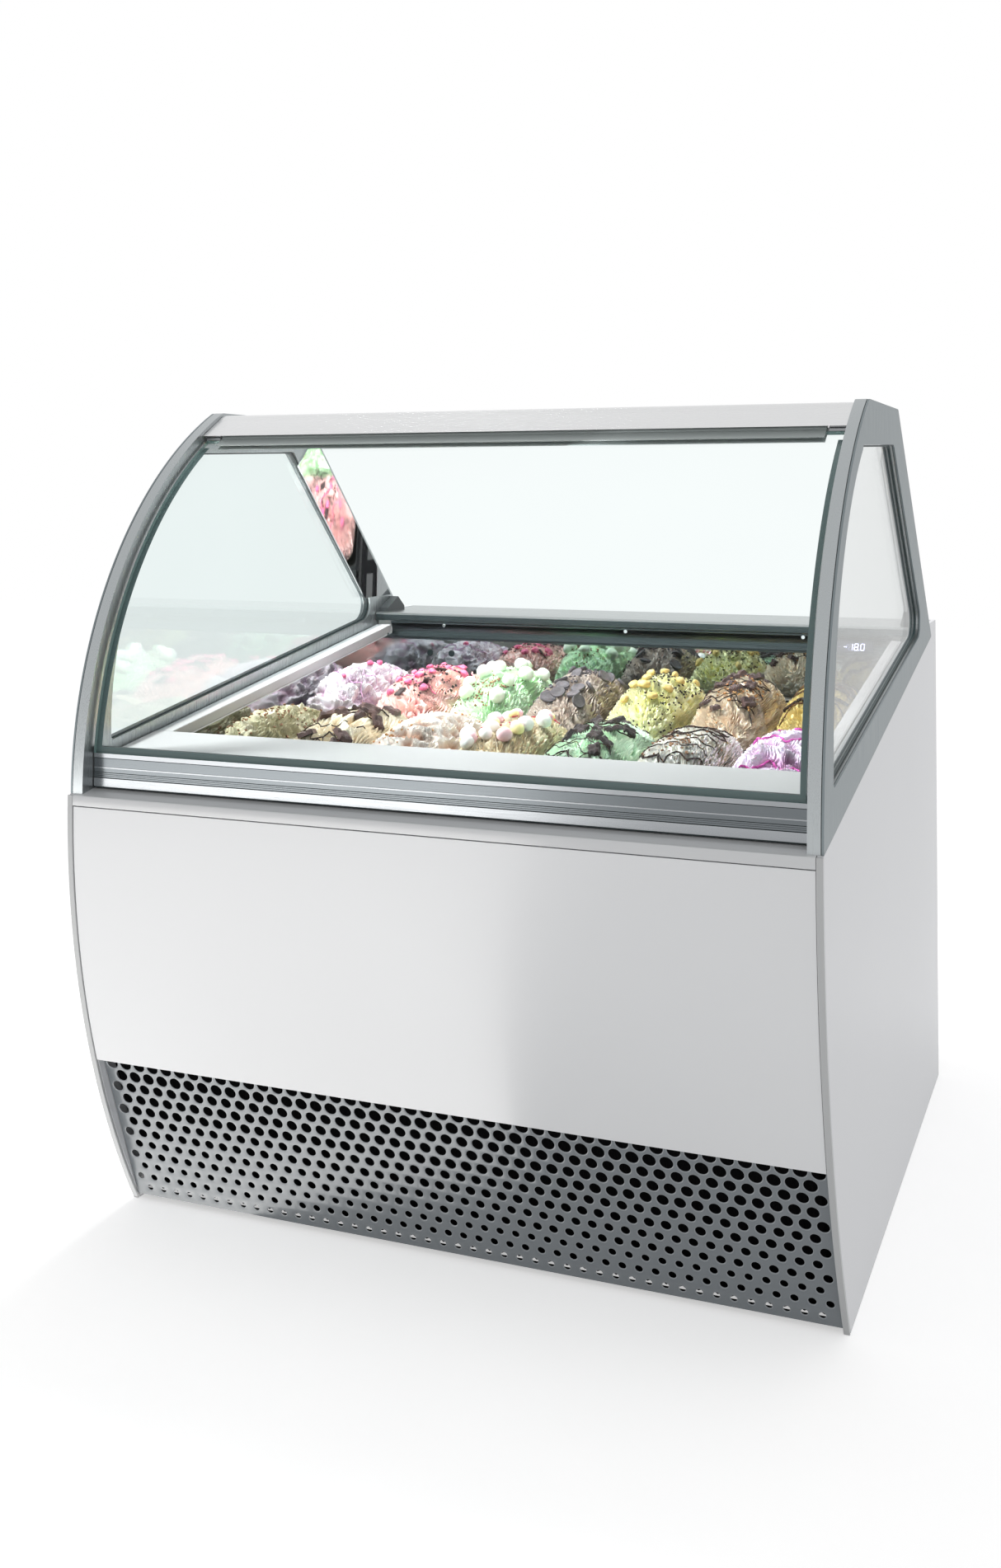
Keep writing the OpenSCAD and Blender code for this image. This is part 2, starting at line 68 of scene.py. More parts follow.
PANEL_LOW, PANEL_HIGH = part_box("side_panel_right")
FRAME_LOW, FRAME_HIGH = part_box("side_frame_right")
DECK_LOW, DECK_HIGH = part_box("deck_rim")
MIRROR_LOW, MIRROR_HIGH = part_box("rear_mirror")
PANEL_T = PANEL_HIGH.x - PANEL_LOW.x
HALF_W = PANEL_HIGH.x
WELL_HALF_W = MIRROR_HIGH.x

# The profile's own zero is the foot of the side panels' front edge
BODY_R = 1548 * MM
BODY_C = (PANEL_LOW.y + BODY_R, 745 * MM)
PROFILE_Y = BODY_C[0] - 1357 * MM
FRAME_C = (PROFILE_Y + 576 * MM, 762 * MM)
FRAME_R = 759 * MM
WINDOW_C = (PROFILE_Y + 452 * MM, 870 * MM)
WINDOW_R = 560 * MM
GLASS_R = 740 * MM
GLASS_T = 7 * MM
SILL_SLOPE = 0.172
DECK_SLOPE = 0.15
WELL_FRONT = PROFILE_Y + 15 * MM
GRILLE_T = 1.5 * MM
HOLE_SIDES = 32
SIDES = ("left", "right")
BOX_FACES = [(0, 1, 3, 2), (4, 6, 7, 5), (0, 4, 5, 1), (2, 3, 7, 6), (0, 2, 6, 4), (1, 5, 7, 3)]


def sill(y):
    """Height of the slanted joint between the side panels and the side frames."""
    return 760.3 * MM + SILL_SLOPE * (y - PANEL_LOW.y)


def deck(y):
    """Height of the slanted rim's top."""
    return 842 * MM + DECK_SLOPE * (y - WELL_FRONT)


# The rear corners of a side frame
BACK_TOP = (PROFILE_Y + 550 * MM, FRAME_HIGH.z)
BACK_FOOT = (PROFILE_Y + 1010 * MM, sill(PROFILE_Y + 1010 * MM))


# ---- camera, light and floor ----


def make_camera():
    data = bpy.data.cameras.new("camera")
    camera = bpy.data.objects.new("camera", data)
    bpy.context.scene.collection.objects.link(camera)
    camera.location = (1.0672, -2.7318, 1.2690)
    camera.rotation_euler = (math.radians(91.73), 0, math.radians(20.12))
    data.sensor_width = 36
    data.lens = 34.13
    data.shift_x = -0.0568
    data.shift_y = -0.2116
    data.clip_end = 60
    bpy.context.scene.camera = camera


def area_light(name, place, target, size, power, colour=(1, 1, 1)):
    """A rectangular light at a place, turned to a target, of a power in watts."""
    data = bpy.data.lights.new(name, "AREA")
    data.shape = "RECTANGLE"
    data.size, data.size_y = size
    data.energy = power
    data.color = colour
    light = bpy.data.objects.new(name, data)
    bpy.context.scene.collection.objects.link(light)
    light.location = place
    light.rotation_euler = (Vector(target) - Vector(place)).to_track_quat("-Z", "Y").to_euler()
    return light


def make_unseen(light):
    """Keeps a light out of the reflections, so that only its light is seen."""
    light.visible_glossy = False
    light.visible_camera = False


def light_only(light, prefixes):
    """Makes a light fall only on the pieces whose names start with one of the prefixes."""
    lit = bpy.data.collections.new(f"lit_by_{light.name}")
    for piece in bpy.context.scene.objects:
        if piece.name.startswith(prefixes):
            lit.objects.link(piece)
    light.light_linking.receiver_collection = lit


def make_reflection_card():
    """A bright card on the floor at the front left, seen only in reflections: it gives the front its step."""
    width, length, radiance = 2.8, 5.2, 3.3
    power = radiance * math.pi * width * length
    card = area_light("reflection_card", (0, 0, 0), (0, 0, 1), (width, length), power, (1.0, 0.985, 0.96))
    turn = math.radians(20)
    edge = Vector((0.06, -0.62, 2 * MM))
    along = Vector((-math.sin(turn), -math.cos(turn), 0))
    across = Vector((-math.cos(turn), math.sin(turn), 0))
    card.location = edge + along * length / 2 + across * width / 2
    card.rotation_euler = (math.pi, 0, -turn)
    card.visible_camera = False
    card.visible_diffuse = False
    card.visible_transmission = False


def make_world():
    world = bpy.data.worlds.new("studio")
    bpy.context.scene.world = world
    world.use_nodes = True
    tree = world.node_tree
    background = tree.nodes["Background"]
    background.inputs["Color"].default_value = (1.0, 1.0, 1.0, 1)
    # The backdrop is pure white, and the light that it casts is a little weaker
    path = add_node(tree, "ShaderNodeLightPath")
    link(tree, ramp(tree, path.outputs["Is Diffuse Ray"], 1.0, 0.62, 0.0, 1.0), background.inputs["Strength"])


def make_floor():
    bpy.ops.mesh.primitive_plane_add(size=24, location=(0, 0, -0.5 * MM))
    floor = bpy.context.object
    floor.name = "floor"
    white = simple_material("floor_white", (0.85, 0.85, 0.85), 0.9)
    shader = white.node_tree.nodes["Principled BSDF"]
    shader.inputs["Emission Color"].default_value = (1, 1, 1, 1)
    path = add_node(white.node_tree, "ShaderNodeLightPath")
    lift = ramp(white.node_tree, path.outputs["Is Diffuse Ray"], 0.5, 0.0, 0.0, 1.0)
    link(white.node_tree, lift, shader.inputs["Emission Strength"])
    shader.inputs["Specular IOR Level"].default_value = 0.0
    floor.data.materials.append(white)


# ---- materials ----


def new_material(name):
    material = bpy.data.materials.new(name)
    material.use_nodes = True
    tree = material.node_tree
    return material, tree, tree.nodes["Principled BSDF"]


def link(tree, source, target):
    tree.links.new(source, target)


def add_node(tree, kind, **values):
    """A new node with its inputs or its own settings given by name."""
    node = tree.nodes.new(kind)
    for key, value in values.items():
        if key in node.inputs:
            node.inputs[key].default_value = value
        else:
            setattr(node, key, value)
    return node


def object_coords(tree, scale=(1, 1, 1)):
    coords = add_node(tree, "ShaderNodeTexCoord")
    mapping = add_node(tree, "ShaderNodeMapping")
    mapping.inputs["Scale"].default_value = scale
    link(tree, coords.outputs["Object"], mapping.inputs["Vector"])
    return mapping.outputs["Vector"]


def noise(tree, vector, scale, detail=3.0, rough=0.55):
    node = add_node(tree, "ShaderNodeTexNoise", Scale=scale, Detail=detail, Roughness=rough)
    link(tree, vector, node.inputs["Vector"])
    return node.outputs["Fac"]


def ramp(tree, value, low, high, from_low=0.35, from_high=0.65):
    """Maps a 0..1 value to the range low..high."""
    node = add_node(tree, "ShaderNodeMapRange")
    node.inputs["From Min"].default_value = from_low
    node.inputs["From Max"].default_value = from_high
    node.inputs["To Min"].default_value = low
    node.inputs["To Max"].default_value = high
    link(tree, value, node.inputs["Value"])
    return node.outputs["Result"]


def mix_colours(tree, factor, first, second):
    node = add_node(tree, "ShaderNodeMix", data_type="RGBA")
    for socket, value in (("A", first), ("B", second)):
        target = [i for i in node.inputs if i.name == socket and i.type == "RGBA"][0]
        if isinstance(value, tuple):
            target.default_value = (*value, 1)
        else:
            link(tree, value, target)
    link(tree, factor, node.inputs["Factor"])
    return [o for o in node.outputs if o.type == "RGBA"][0]


def add_bump(tree, shader, height, strength, distance):
    bump = add_node(tree, "ShaderNodeBump", Strength=strength, Distance=distance)
    link(tree, height, bump.inputs["Height"])
    link(tree, bump.outputs["Normal"], shader.inputs["Normal"])


def clouded(tree, coords, colour, darkest, scale, low=0.35, high=0.65):
    """A tone that drifts between a colour and a slightly darker one."""
    tone = ramp(tree, noise(tree, coords, scale), 0.0, 1.0, low, high)
    return mix_colours(tree, tone, tuple(c * darkest for c in colour), colour)


def simple_material(name, colour, rough):
    """A plain surface with a faint drift in its tone."""
    material, tree, shader = new_material(name)
    link(tree, clouded(tree, object_coords(tree), colour, 0.96, 6.0, 0.0, 1.0), shader.inputs["Base Color"])
    shader.inputs["Roughness"].default_value = rough
    return material


def paint(name, colour, rough=0.32, coat=0.0):
    """Powder coat: a faint change of tone and of gloss."""
    material, tree, shader = new_material(name)
    coords = object_coords(tree)
    link(tree, clouded(tree, coords, colour, 0.97, 1.6, 0.2, 0.8), shader.inputs["Base Color"])
    gloss = ramp(tree, noise(tree, coords, 3.0), rough * 0.97, rough * 1.03, 0.2, 0.8)
    link(tree, gloss, shader.inputs["Roughness"])
    shader.inputs["Coat Weight"].default_value = coat
    shader.inputs["Coat Roughness"].default_value = 0.12
    return material


def matt(name, colour):
    """A dull black inside surface that shows no reflections."""
    material = simple_material(name, colour, 0.9)
    material.node_tree.nodes["Principled BSDF"].inputs["Specular IOR Level"].default_value = 0.0
    return material


def brushed(name, colour, rough=0.3, along="x", grain=0.12, metallic=1.0):
    """Metal brushed or extruded along one axis: fine lines in its tone, gloss and height."""
    material, tree, shader = new_material(name)
    stretch = {"x": (0.6, 60, 60), "y": (60, 0.6, 60), "z": (60, 60, 0.6)}[along]
    lines = noise(tree, object_coords(tree, stretch), 22.0, 4.0, 0.7)
    blotch = noise(tree, object_coords(tree), 5.0, 2.0)
    dark = tuple(c * (1 - grain) for c in colour)
    streaks = mix_colours(tree, ramp(tree, lines, 0.0, 1.0), dark, colour)
    link(tree, mix_colours(tree, ramp(tree, blotch, 0.0, 0.25), streaks, dark), shader.inputs["Base Color"])
    link(tree, ramp(tree, lines, rough * 0.8, rough * 1.25), shader.inputs["Roughness"])
    shader.inputs["Metallic"].default_value = metallic
    add_bump(tree, shader, lines, 0.02, 0.05 * MM)
    return material


def polished(name, colour, rough=0.04):
    """Mirror-finished steel with a faint waviness and smudges."""
    material, tree, shader = new_material(name)
    coords = object_coords(tree)
    shader.inputs["Base Color"].default_value = (*colour, 1)
    shader.inputs["Metallic"].default_value = 1.0
    smudge = noise(tree, coords, 9.0, 4.0)
    link(tree, ramp(tree, smudge, rough, rough * 3.0, 0.45, 0.75), shader.inputs["Roughness"])
    add_bump(tree, shader, noise(tree, coords, 7.0, 1.0), 0.12, 0.4 * MM)
    return material


def tilted_mirror(name, colour, lean):
    """A polished plate whose bowed surface turns its reflections by lean, here down to the ice cream."""
    material = polished(name, colour)
    tree = material.node_tree
    shader = tree.nodes["Principled BSDF"]
    geometry = add_node(tree, "ShaderNodeNewGeometry")
    turned = add_node(tree, "ShaderNodeVectorMath", operation="ADD")
    turned.inputs[1].default_value = lean
    unit = add_node(tree, "ShaderNodeVectorMath", operation="NORMALIZE")
    link(tree, geometry.outputs["True Normal"], turned.inputs[0])
    link(tree, turned.outputs["Vector"], unit.inputs[0])
    link(tree, unit.outputs["Vector"], shader.inputs["Normal"])
    return material


def plastic(name, colour, rough=0.35):
    """Moulded plastic: a satin tone with faint clouds in its gloss."""
    material, tree, shader = new_material(name)
    coords = object_coords(tree)
    link(tree, clouded(tree, coords, colour, 0.93, 4.0), shader.inputs["Base Color"])
    gloss = ramp(tree, noise(tree, coords, 5.0), rough * 0.95, rough * 1.05, 0.2, 0.8)
    link(tree, gloss, shader.inputs["Roughness"])
    return material


def pane(name, tint, rough=0.0, least=0.035):
    """A thin clear pane: it reflects as glass does at its angle, and lets light straight through."""
    material, tree, shader = new_material(name)
    tree.nodes.remove(shader)
    output = tree.nodes["Material Output"]
    clear = add_node(tree, "ShaderNodeBsdfTransparent")
    haze = noise(tree, object_coords(tree), 3.0, 2.0)
    slightly = tuple(c * 0.985 for c in tint)
    link(tree, mix_colours(tree, haze, slightly, tint), clear.inputs["Color"])
    gloss = add_node(tree, "ShaderNodeBsdfGlossy", Roughness=rough)
    # Schlick's formula on the angle alone, so that both faces of the pane reflect alike
    facing = add_node(tree, "ShaderNodeLayerWeight", Blend=0.5)
    power = add_node(tree, "ShaderNodeMath", operation="POWER")
    power.inputs[1].default_value = 5.0
    link(tree, facing.outputs["Facing"], power.inputs[0])
    mix = add_node(tree, "ShaderNodeMixShader")
    link(tree, ramp(tree, power.outputs["Value"], least, 0.9, 0.0, 1.0), mix.inputs["Fac"])
    link(tree, clear.outputs["BSDF"], mix.inputs[1])
    link(tree, gloss.outputs["BSDF"], mix.inputs[2])
    link(tree, mix.outputs["Shader"], output.inputs["Surface"])
    return material


def glow(name, colour, strength):
    """A surface that gives off light, such as a lit digit."""
    material, tree, shader = new_material(name)
    flicker = clouded(tree, object_coords(tree), colour, 0.9, 200.0, 0.0, 1.0)
    link(tree, flicker, shader.inputs["Emission Color"])
    shader.inputs["Base Color"].default_value = (*colour, 1)
    shader.inputs["Emission Strength"].default_value = strength
    return material


def ice_cream(name, light, crease_shade, fleck, fleck_amount):
    """Ice cream: pale on its folds, darker and stronger in its creases as painted shade over the flavour's
    own deeper tone, softly lit from within and slightly wet.
    """
    material, tree, shader = new_material(name)
    coords = object_coords(tree)
    fold = add_node(tree, "ShaderNodeAttribute", attribute_name="fold")
    # Low points take the darker colour: painted shade in the creases
    depth = ramp(tree, fold.outputs["Fac"], 1.0, 0.0, 0.25, 0.75)
    colour = mix_colours(tree, depth, light, crease_shade)
    if fleck:
        patches = noise(tree, coords, 42.0, 5.0, 0.65)
        spots = ramp(tree, patches, 0.0, 1.0, 0.62 - fleck_amount, 0.66 - fleck_amount)
        colour = mix_colours(tree, spots, colour, fleck)
    link(tree, colour, shader.inputs["Base Color"])
    shader.inputs["Subsurface Weight"].default_value = 0.12
    shader.inputs["Subsurface Radius"].default_value = (1.0, 0.7, 0.5)
    shader.inputs["Subsurface Scale"].default_value = 3 * MM
    link(tree, ramp(tree, noise(tree, coords, 60.0), 0.32, 0.6), shader.inputs["Roughness"])
    add_bump(tree, shader, noise(tree, coords, 330.0, 4.0, 0.7), 0.12, 1.2 * MM)
    return material


def topping_material(name, light, dark, rough, scale, grain):
    """A topping's two tones in small patches, on a slightly grainy surface."""
    material, tree, shader = new_material(name)
    coords = object_coords(tree)
    patches = ramp(tree, noise(tree, coords, scale, 3.0), 0.0, 1.0, 0.4, 0.6)
    link(tree, mix_colours(tree, patches, dark, light), shader.inputs["Base Color"])
    shader.inputs["Roughness"].default_value = rough
    shader.inputs["Subsurface Weight"].default_value = 0.08
    shader.inputs["Subsurface Scale"].default_value = 4 * MM
    add_bump(tree, shader, noise(tree, coords, 500.0, 3.0), grain, 0.5 * MM)
    return material


# ---- mesh helpers ----


def make_piece(name, verts, faces, materials, slot, body="cabinet", replaces=(), sharp=35.0, face_slots=None):
    """Turns verts and faces into a piece that rides on a body."""
    mesh = bpy.data.meshes.new(name)
    mesh.from_pydata([tuple(v) for v in verts], [], [tuple(f) for f in faces])
    for material in materials:
        mesh.materials.append(material)
    if face_slots is not None:
        mesh.polygons.foreach_set("material_index", face_slots)
    bm = bmesh.new()
    bm.from_mesh(mesh)
    bmesh.ops.recalc_face_normals(bm, faces=bm.faces)
    bm.to_mesh(mesh)
    bm.free()
    mesh.shade_smooth()
    mesh.set_sharp_from_angle(angle=math.radians(sharp))
    piece = bpy.data.objects.new(name, mesh)
    bpy.context.scene.collection.objects.link(piece)
    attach(piece, body)
    if replaces:
        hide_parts(*replaces)
    return piece


def soften(piece, width, segments=2):
    """Rounds the piece's sharp edges."""
    bevel = piece.modifiers.new("edges", "BEVEL")
    bevel.width = width
    bevel.segments = segments
    bevel.limit_method = "ANGLE"
    bevel.angle_limit = math.radians(30)
    bevel.harden_normals = True


def on_arc(centre, radius, angle):
    """The profile point of a circle at an angle in degrees from the rear."""
    turn = math.radians(angle)
    return (centre[0] + radius * math.cos(turn), centre[1] + radius * math.sin(turn))


def arc(centre, radius, start, end, steps):
    """Profile points on a circle, with angles in degrees from the rear."""
    return [on_arc(centre, radius, angle) for angle in np.linspace(start, end, steps + 1)]


def angle_at(centre, radius, z):
    """The angle at which a circle's front side reaches a height."""
    return 180 - math.degrees(math.asin((z - centre[1]) / radius))


def corner(before, point, after, radius, steps=6):
    """The round corner at a point between its neighbours."""
    p, a, b = (np.array(v, float) for v in (point, before, after))
    u = (a - p) / np.linalg.norm(a - p)
    v = (b - p) / np.linalg.norm(b - p)
    half = math.acos(float(u @ v)) / 2
    middle = (u + v) / np.linalg.norm(u + v)
    centre = p + middle * radius / math.sin(half)
    first = p + u * radius / math.tan(half) - centre
    last = p + v * radius / math.tan(half) - centre
    start = math.atan2(first[1], first[0])
    turn = (math.atan2(last[1], last[0]) - start + 3 * math.pi) % (2 * math.pi) - math.pi
    return [(centre[0] + radius * math.cos(start + turn * i / steps),
             centre[1] + radius * math.sin(start + turn * i / steps)) for i in range(steps + 1)]


def taken_out(bm):
    """The verts and faces of a finished bmesh, which is then freed."""
    bm.verts.index_update()
    verts = [v.co.copy() for v in bm.verts]
    faces = [[v.index for v in f.verts] for f in bm.faces]
    bm.free()
    return verts, faces


def prism(outline, x_low, x_high, hole=None):
    """Verts and faces of a profile extruded along X, with an optional hole through it."""
    bm = bmesh.new()
    loops = [outline] + ([hole] if hole else [])
    edges = []
    for loop in loops:
        ring = [bm.verts.new((x_low, y, z)) for y, z in loop]
        edges += [bm.edges.new((ring[i], ring[(i + 1) % len(ring)])) for i in range(len(ring))]
    if hole:
        bmesh.ops.triangle_fill(bm, use_beauty=True, use_dissolve=False, edges=edges)
    else:
        bm.faces.new(list(bm.verts))
    made = bmesh.ops.extrude_face_region(bm, geom=list(bm.faces))
    moved = [g for g in made["geom"] if isinstance(g, bmesh.types.BMVert)]
    bmesh.ops.translate(bm, vec=(x_high - x_low, 0, 0), verts=moved)
    return taken_out(bm)


def block(low, high):
    """Verts and faces of a box between two corners."""
    verts = [(x, y, z) for x in (low[0], high[0]) for y in (low[1], high[1]) for z in (low[2], high[2])]
    return verts, BOX_FACES


def joined(parts):
    """One list of verts and faces from several."""
    verts, faces = [], []
    for part_verts, part_faces in parts:
        start = len(verts)
        verts += [tuple(v) for v in part_verts]
        faces += [tuple(i + start for i in f) for f in part_faces]
    return verts, faces


def mirrored(part):
    """The same part on the other side of the cabinet."""
    verts, faces = part
    return [(-v[0], v[1], v[2]) for v in verts], [tuple(reversed(f)) for f in faces]


def on_side(side, part):
    """A part made for the right side, put on the named side."""
    return mirrored(part) if side == "left" else part


def bent_strip(centre, r_out, thick, start, end, x_low, x_high, steps):
    """A curved sheet as a prism: its outline is an outer arc and an inner arc."""
    outline = arc(centre, r_out, start, end, steps) + arc(centre, r_out - thick, end, start, steps)
    return prism(outline, x_low, x_high)


# ---- the cabinet's body ----


def panel_outline(inset):
    """Outline of a side panel, its front edge set back by inset."""
    radius = BODY_R - inset
    top_a = angle_at(BODY_C, radius, sill(BODY_C[0] - radius))
    shoulder_y = PROFILE_Y + 981 * MM
    return arc(BODY_C, radius, top_a, angle_at(BODY_C, radius, 0), 40) + [
        (PANEL_HIGH.y, 0), (PANEL_HIGH.y, PANEL_HIGH.z), (shoulder_y, PANEL_HIGH.z), BACK_FOOT]


def make_side_panels(white, edge_grey):
    """Each panel is a flat skin with a thin trim along its curved front edge."""
    trim_depth, gap = 5 * MM, 0.6 * MM
    inner_x = HALF_W - PANEL_T
    top_a, foot_a = angle_at(BODY_C, BODY_R, sill(PANEL_LOW.y)), angle_at(BODY_C, BODY_R, 0)
    for side in SIDES:
        panel = on_side(side, prism(panel_outline(trim_depth + gap), inner_x, HALF_W))
        trim = on_side(side, bent_strip(BODY_C, BODY_R, trim_depth, top_a, foot_a, inner_x, HALF_W, 48))
        # The skin's white is drawn darker than the front panel's as painted shade
        piece = make_piece(f"side_panel_{side}_skin", *panel, [white], slot="painted_body",
                           replaces=[f"side_panel_{side}"])
        soften(piece, 1.2 * MM)
        soften(make_piece(f"side_panel_{side}_edge", *trim, [edge_grey], slot="ledge"), 1.0 * MM)


def make_front_panel(white):
    """A curved sheet with a folded lip along its foot."""
    low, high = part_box("front_panel")
    radius, thick, gap, lip_depth = BODY_R - 2 * MM, 2 * MM, 0.8 * MM, 14 * MM
    top_a, foot_a = angle_at(BODY_C, radius, high.z - gap), angle_at(BODY_C, radius, low.z)
    front = arc(BODY_C, radius, top_a, foot_a, 40)
    foot_y, foot_z = front[-1]
    lip = [(foot_y + lip_depth, foot_z), (foot_y + lip_depth, foot_z + thick)]
    back = arc(BODY_C, radius - thick, foot_a, top_a, 40)
    half = high.x - gap
    piece = make_piece("front_panel_skin", *prism(front + lip + back, -half, half), [white],
                       slot="painted_front", replaces=["front_panel"])
    soften(piece, 0.7 * MM)


def make_ledge(grey):
    """The painted ledge above the front panel, its top in line with the slanted joint."""
    low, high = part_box("front_ledge")
    back = PROFILE_Y - 151 * MM
    nose = corner((low.y, low.z), (low.y, sill(low.y)), (back, sill(back)), 2.5 * MM, 5)
    outline = [(low.y + 3 * MM, low.z), (low.y, low.z + 1.5 * MM)] + nose + [
        (back, sill(back)), (high.y, high.z), (high.y, low.z)]
    half = high.x - 0.5 * MM
    piece = make_piece("front_ledge_skin", *prism(outline, -half, half), [grey], slot="ledge",
                       replaces=["front_ledge"])
    soften(piece, 0.5 * MM)


def make_rail(pale, middle, dark):
    """The aluminium rail under the glass: stepped bands, a ribbed strip and a shadow gap. Its front flats are
    pale as a painted highlight, its shallow steps mid grey as painted shade, and its grooves dark as painted
    shade.
    """
    low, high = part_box("front_rail")
    # Each band's material follows its depth: pale painted highlight on the front flats, mid-grey painted
    # shade on the steps, dark painted shade in the grooves and the gap
    bands = [  # top, bottom, depth behind the face, material
        (828, 820.4, 0.0, 0), (820.4, 819.6, 1.6, 2), (819.6, 804.6, 0.5, 1), (804.6, 802.2, 0.0, 0),
        (802.2, 795.6, 0.7, 1), (795.6, 794.8, 1.8, 2), (794.8, 792.6, 0.5, 1), (792.6, 792.0, 1.2, 1),
        (792.0, 789.8, 0.5, 1), (789.8, 789.2, 1.2, 1), (789.2, 786.6, 0.5, 1), (786.6, 785.4, 2.2, 2),
        (785.4, 771.0, 0.0, 0), (771.0, 769.0, 1.8, 2)]
    top, shelf, foot = bands[0][0] * MM, 796 * MM, bands[-1][1] * MM
    lip_back = low.y + 3 * MM
    front = [(low.y + depth * MM, z * MM) for upper, lower, depth, _ in bands for z in (upper, lower)]
    back = [(high.y, foot), (high.y, shelf), (lip_back, shelf), (lip_back, top)]
    verts, faces = prism(front + back, -high.x, high.x)
    slots = []
    for face in faces:
        heights = [verts[i][2] for i in face]
        middle_z = (min(heights) + max(heights)) / 2 / MM
        on_front = len(face) == 4 and max(verts[i][1] for i in face) < lip_back - 0.2 * MM
        found = [material for upper, lower, _, material in bands if lower <= middle_z <= upper]
        slots.append(found[0] if on_front and found else 1)
    piece = make_piece("front_rail_profile", verts, faces, [pale, middle, dark],
                       slot="rail_aluminium", replaces=["front_rail"], face_slots=slots, sharp=25)
    soften(piece, 0.25 * MM, 2)


def cell_ring(x_low, x_high, z_low, z_high):
    """Points round a grille cell, a quarter of them on each side, so that staggered cells share them."""
    steps = HOLE_SIDES // 4
    corners = [(x_high, z_low), (x_high, z_high), (x_low, z_high), (x_low, z_low)]
    return [(x + (next_x - x) * i / steps, z + (next_z - z) * i / steps)
            for (x, z), (next_x, next_z) in zip(corners, corners[1:] + corners[:1]) for i in range(steps)]


def hole_ring(x, z, radius):
    """Points round a hole, in step with cell_ring: the first is at the cell's upper right."""
    angles = [-math.pi / 4 + 2 * math.pi * i / HOLE_SIDES for i in range(HOLE_SIDES)]
    return [(x + radius * math.cos(a), z + radius * math.sin(a)) for a in angles]


def make_grille(grey, rim_grey, black):
    """The leaning grille: its perforated sheet, and the flanges and dust screen behind it."""
    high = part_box("front_grille")[1]
    top = Vector((0, PROFILE_Y - 106 * MM, high.z))
    run = Vector((0, PROFILE_Y - 1 * MM, 10 * MM)) - top
    down = run.normalized()
    inward = Vector((0, -down.z, down.y))

    def point(x, drop, depth):
        """A place on the leaning sheet: how far down it, and how deep behind its face."""
        return Vector((x, 0, 0)) + top + down * drop + inward * depth

    make_grille_sheet(point, high.x, run.length, [grey, rim_grey])
    make_grille_back(point, high.x, run.length, black)


def make_grille_sheet(point, half_w, length, materials):
    """Staggered rows of holes that shrink towards the floor, each with a rolled rim drawn lighter than the
    sheet as a painted highlight.
    """
    hole_d = [21.8, 21.8, 19.5, 19.5, 19.5, 17.2, 17.2, 15.2, 15.2, 12.9, 12.9, 10.9]
    pitch, row_pitch = 27.7 * MM, 24.5 * MM
    margin = (length - row_pitch * len(hole_d)) / 2
    verts, faces, slots = [], [], []

    def add_ring(points, depth):
        verts.extend(point(x, z, depth) for x, z in points)
        return len(verts) - len(points)

    for row, diameter in enumerate(hole_d):
        count = 46 - row % 2
        z_low, z_high = margin + row_pitch * row, margin + row_pitch * (row + 1)
        z = margin + row_pitch * (row + 0.5)
        r = diameter * MM / 2
        for hole in range(count):
            x = (hole - (count - 1) / 2) * pitch
            cell = cell_ring(x - pitch / 2, x + pitch / 2, z_low, z_high)
            land, crest, mouth = (hole_ring(x, z, r + rim * MM) for rim in (1.3, 0.7, 0))
            rings = [(cell, 0), (land, 0), (crest, 0.25 * MM), (mouth, 0.9 * MM), (mouth, GRILLE_T),
                     (cell, GRILLE_T)]
            starts = [add_ring(points, depth) for points, depth in rings]
            # The rolled rim's faces take the lighter grey: a painted highlight
            for a, b, slot in zip(starts, starts[1:], (0, 1, 1, 0, 0)):
                for i in range(HOLE_SIDES):
                    j = (i + 1) % HOLE_SIDES
                    faces.append((a + i, a + j, b + j, b + i))
                    slots.append(slot)
    # The plain strips above, below and beside the rows
    flat = [(-half_w, half_w, 0, margin), (-half_w, half_w, length - margin, length)]
    for row in range(len(hole_d)):
        span = (23 - row % 2 / 2) * pitch
        z_low, z_high = margin + row_pitch * row, margin + row_pitch * (row + 1)
        flat += [(-half_w, -span, z_low, z_high), (span, half_w, z_low, z_high)]
    for x_low, x_high, z_low, z_high in flat:
        for depth in (0, GRILLE_T):
            start = add_ring([(x_low, z_low), (x_high, z_low), (x_high, z_high), (x_low, z_high)], depth)
            faces.append(tuple(range(start, start + 4)))
            slots.append(0)
    make_piece("front_grille_sheet", verts, faces, materials, slot="grille",
               replaces=["front_grille"], face_slots=slots, sharp=40)


def make_grille_back(point, half_w, length, black):
    """The folded edges along the top and the bottom, and the pleated dust screen behind the holes."""
    flanges = []
    for drop in (0.0, length - GRILLE_T):
        corners = [point(x, drop + d, depth) for x in (-half_w, half_w)
                   for depth in (GRILLE_T, 14 * MM) for d in (0, GRILLE_T)]
        flanges.append((corners, BOX_FACES))
    make_piece("front_grille_flanges", *joined(flanges), [black], slot="grille")
    pleats, sheet_t = 240, 0.6 * MM
    screen_w = half_w - 4 * MM
    screen, faces = [], []
    for i in range(pleats + 1):
        x = -screen_w + 2 * screen_w * i / pleats
        depth = (17 if i % 2 else 20) * MM
        screen += [point(x, drop, depth + sheet)
                   for sheet in (0, sheet_t) for drop in (2 * MM, length - 1 * MM)]
    for a in range(0, 4 * pleats, 4):
        b = a + 4
        faces += [(a, a + 1, b + 1, b), (a + 2, b + 2, b + 3, a + 3)]
        faces += [(a, b, b + 2, a + 2), (a + 1, a + 3, b + 3, b + 1)]
    faces += [(0, 2, 3, 1), tuple(4 * pleats + k for k in (0, 1, 3, 2))]
    make_piece("grille_dust_screen", screen, faces, [black], slot="black_steel")


# ---- canopy ----


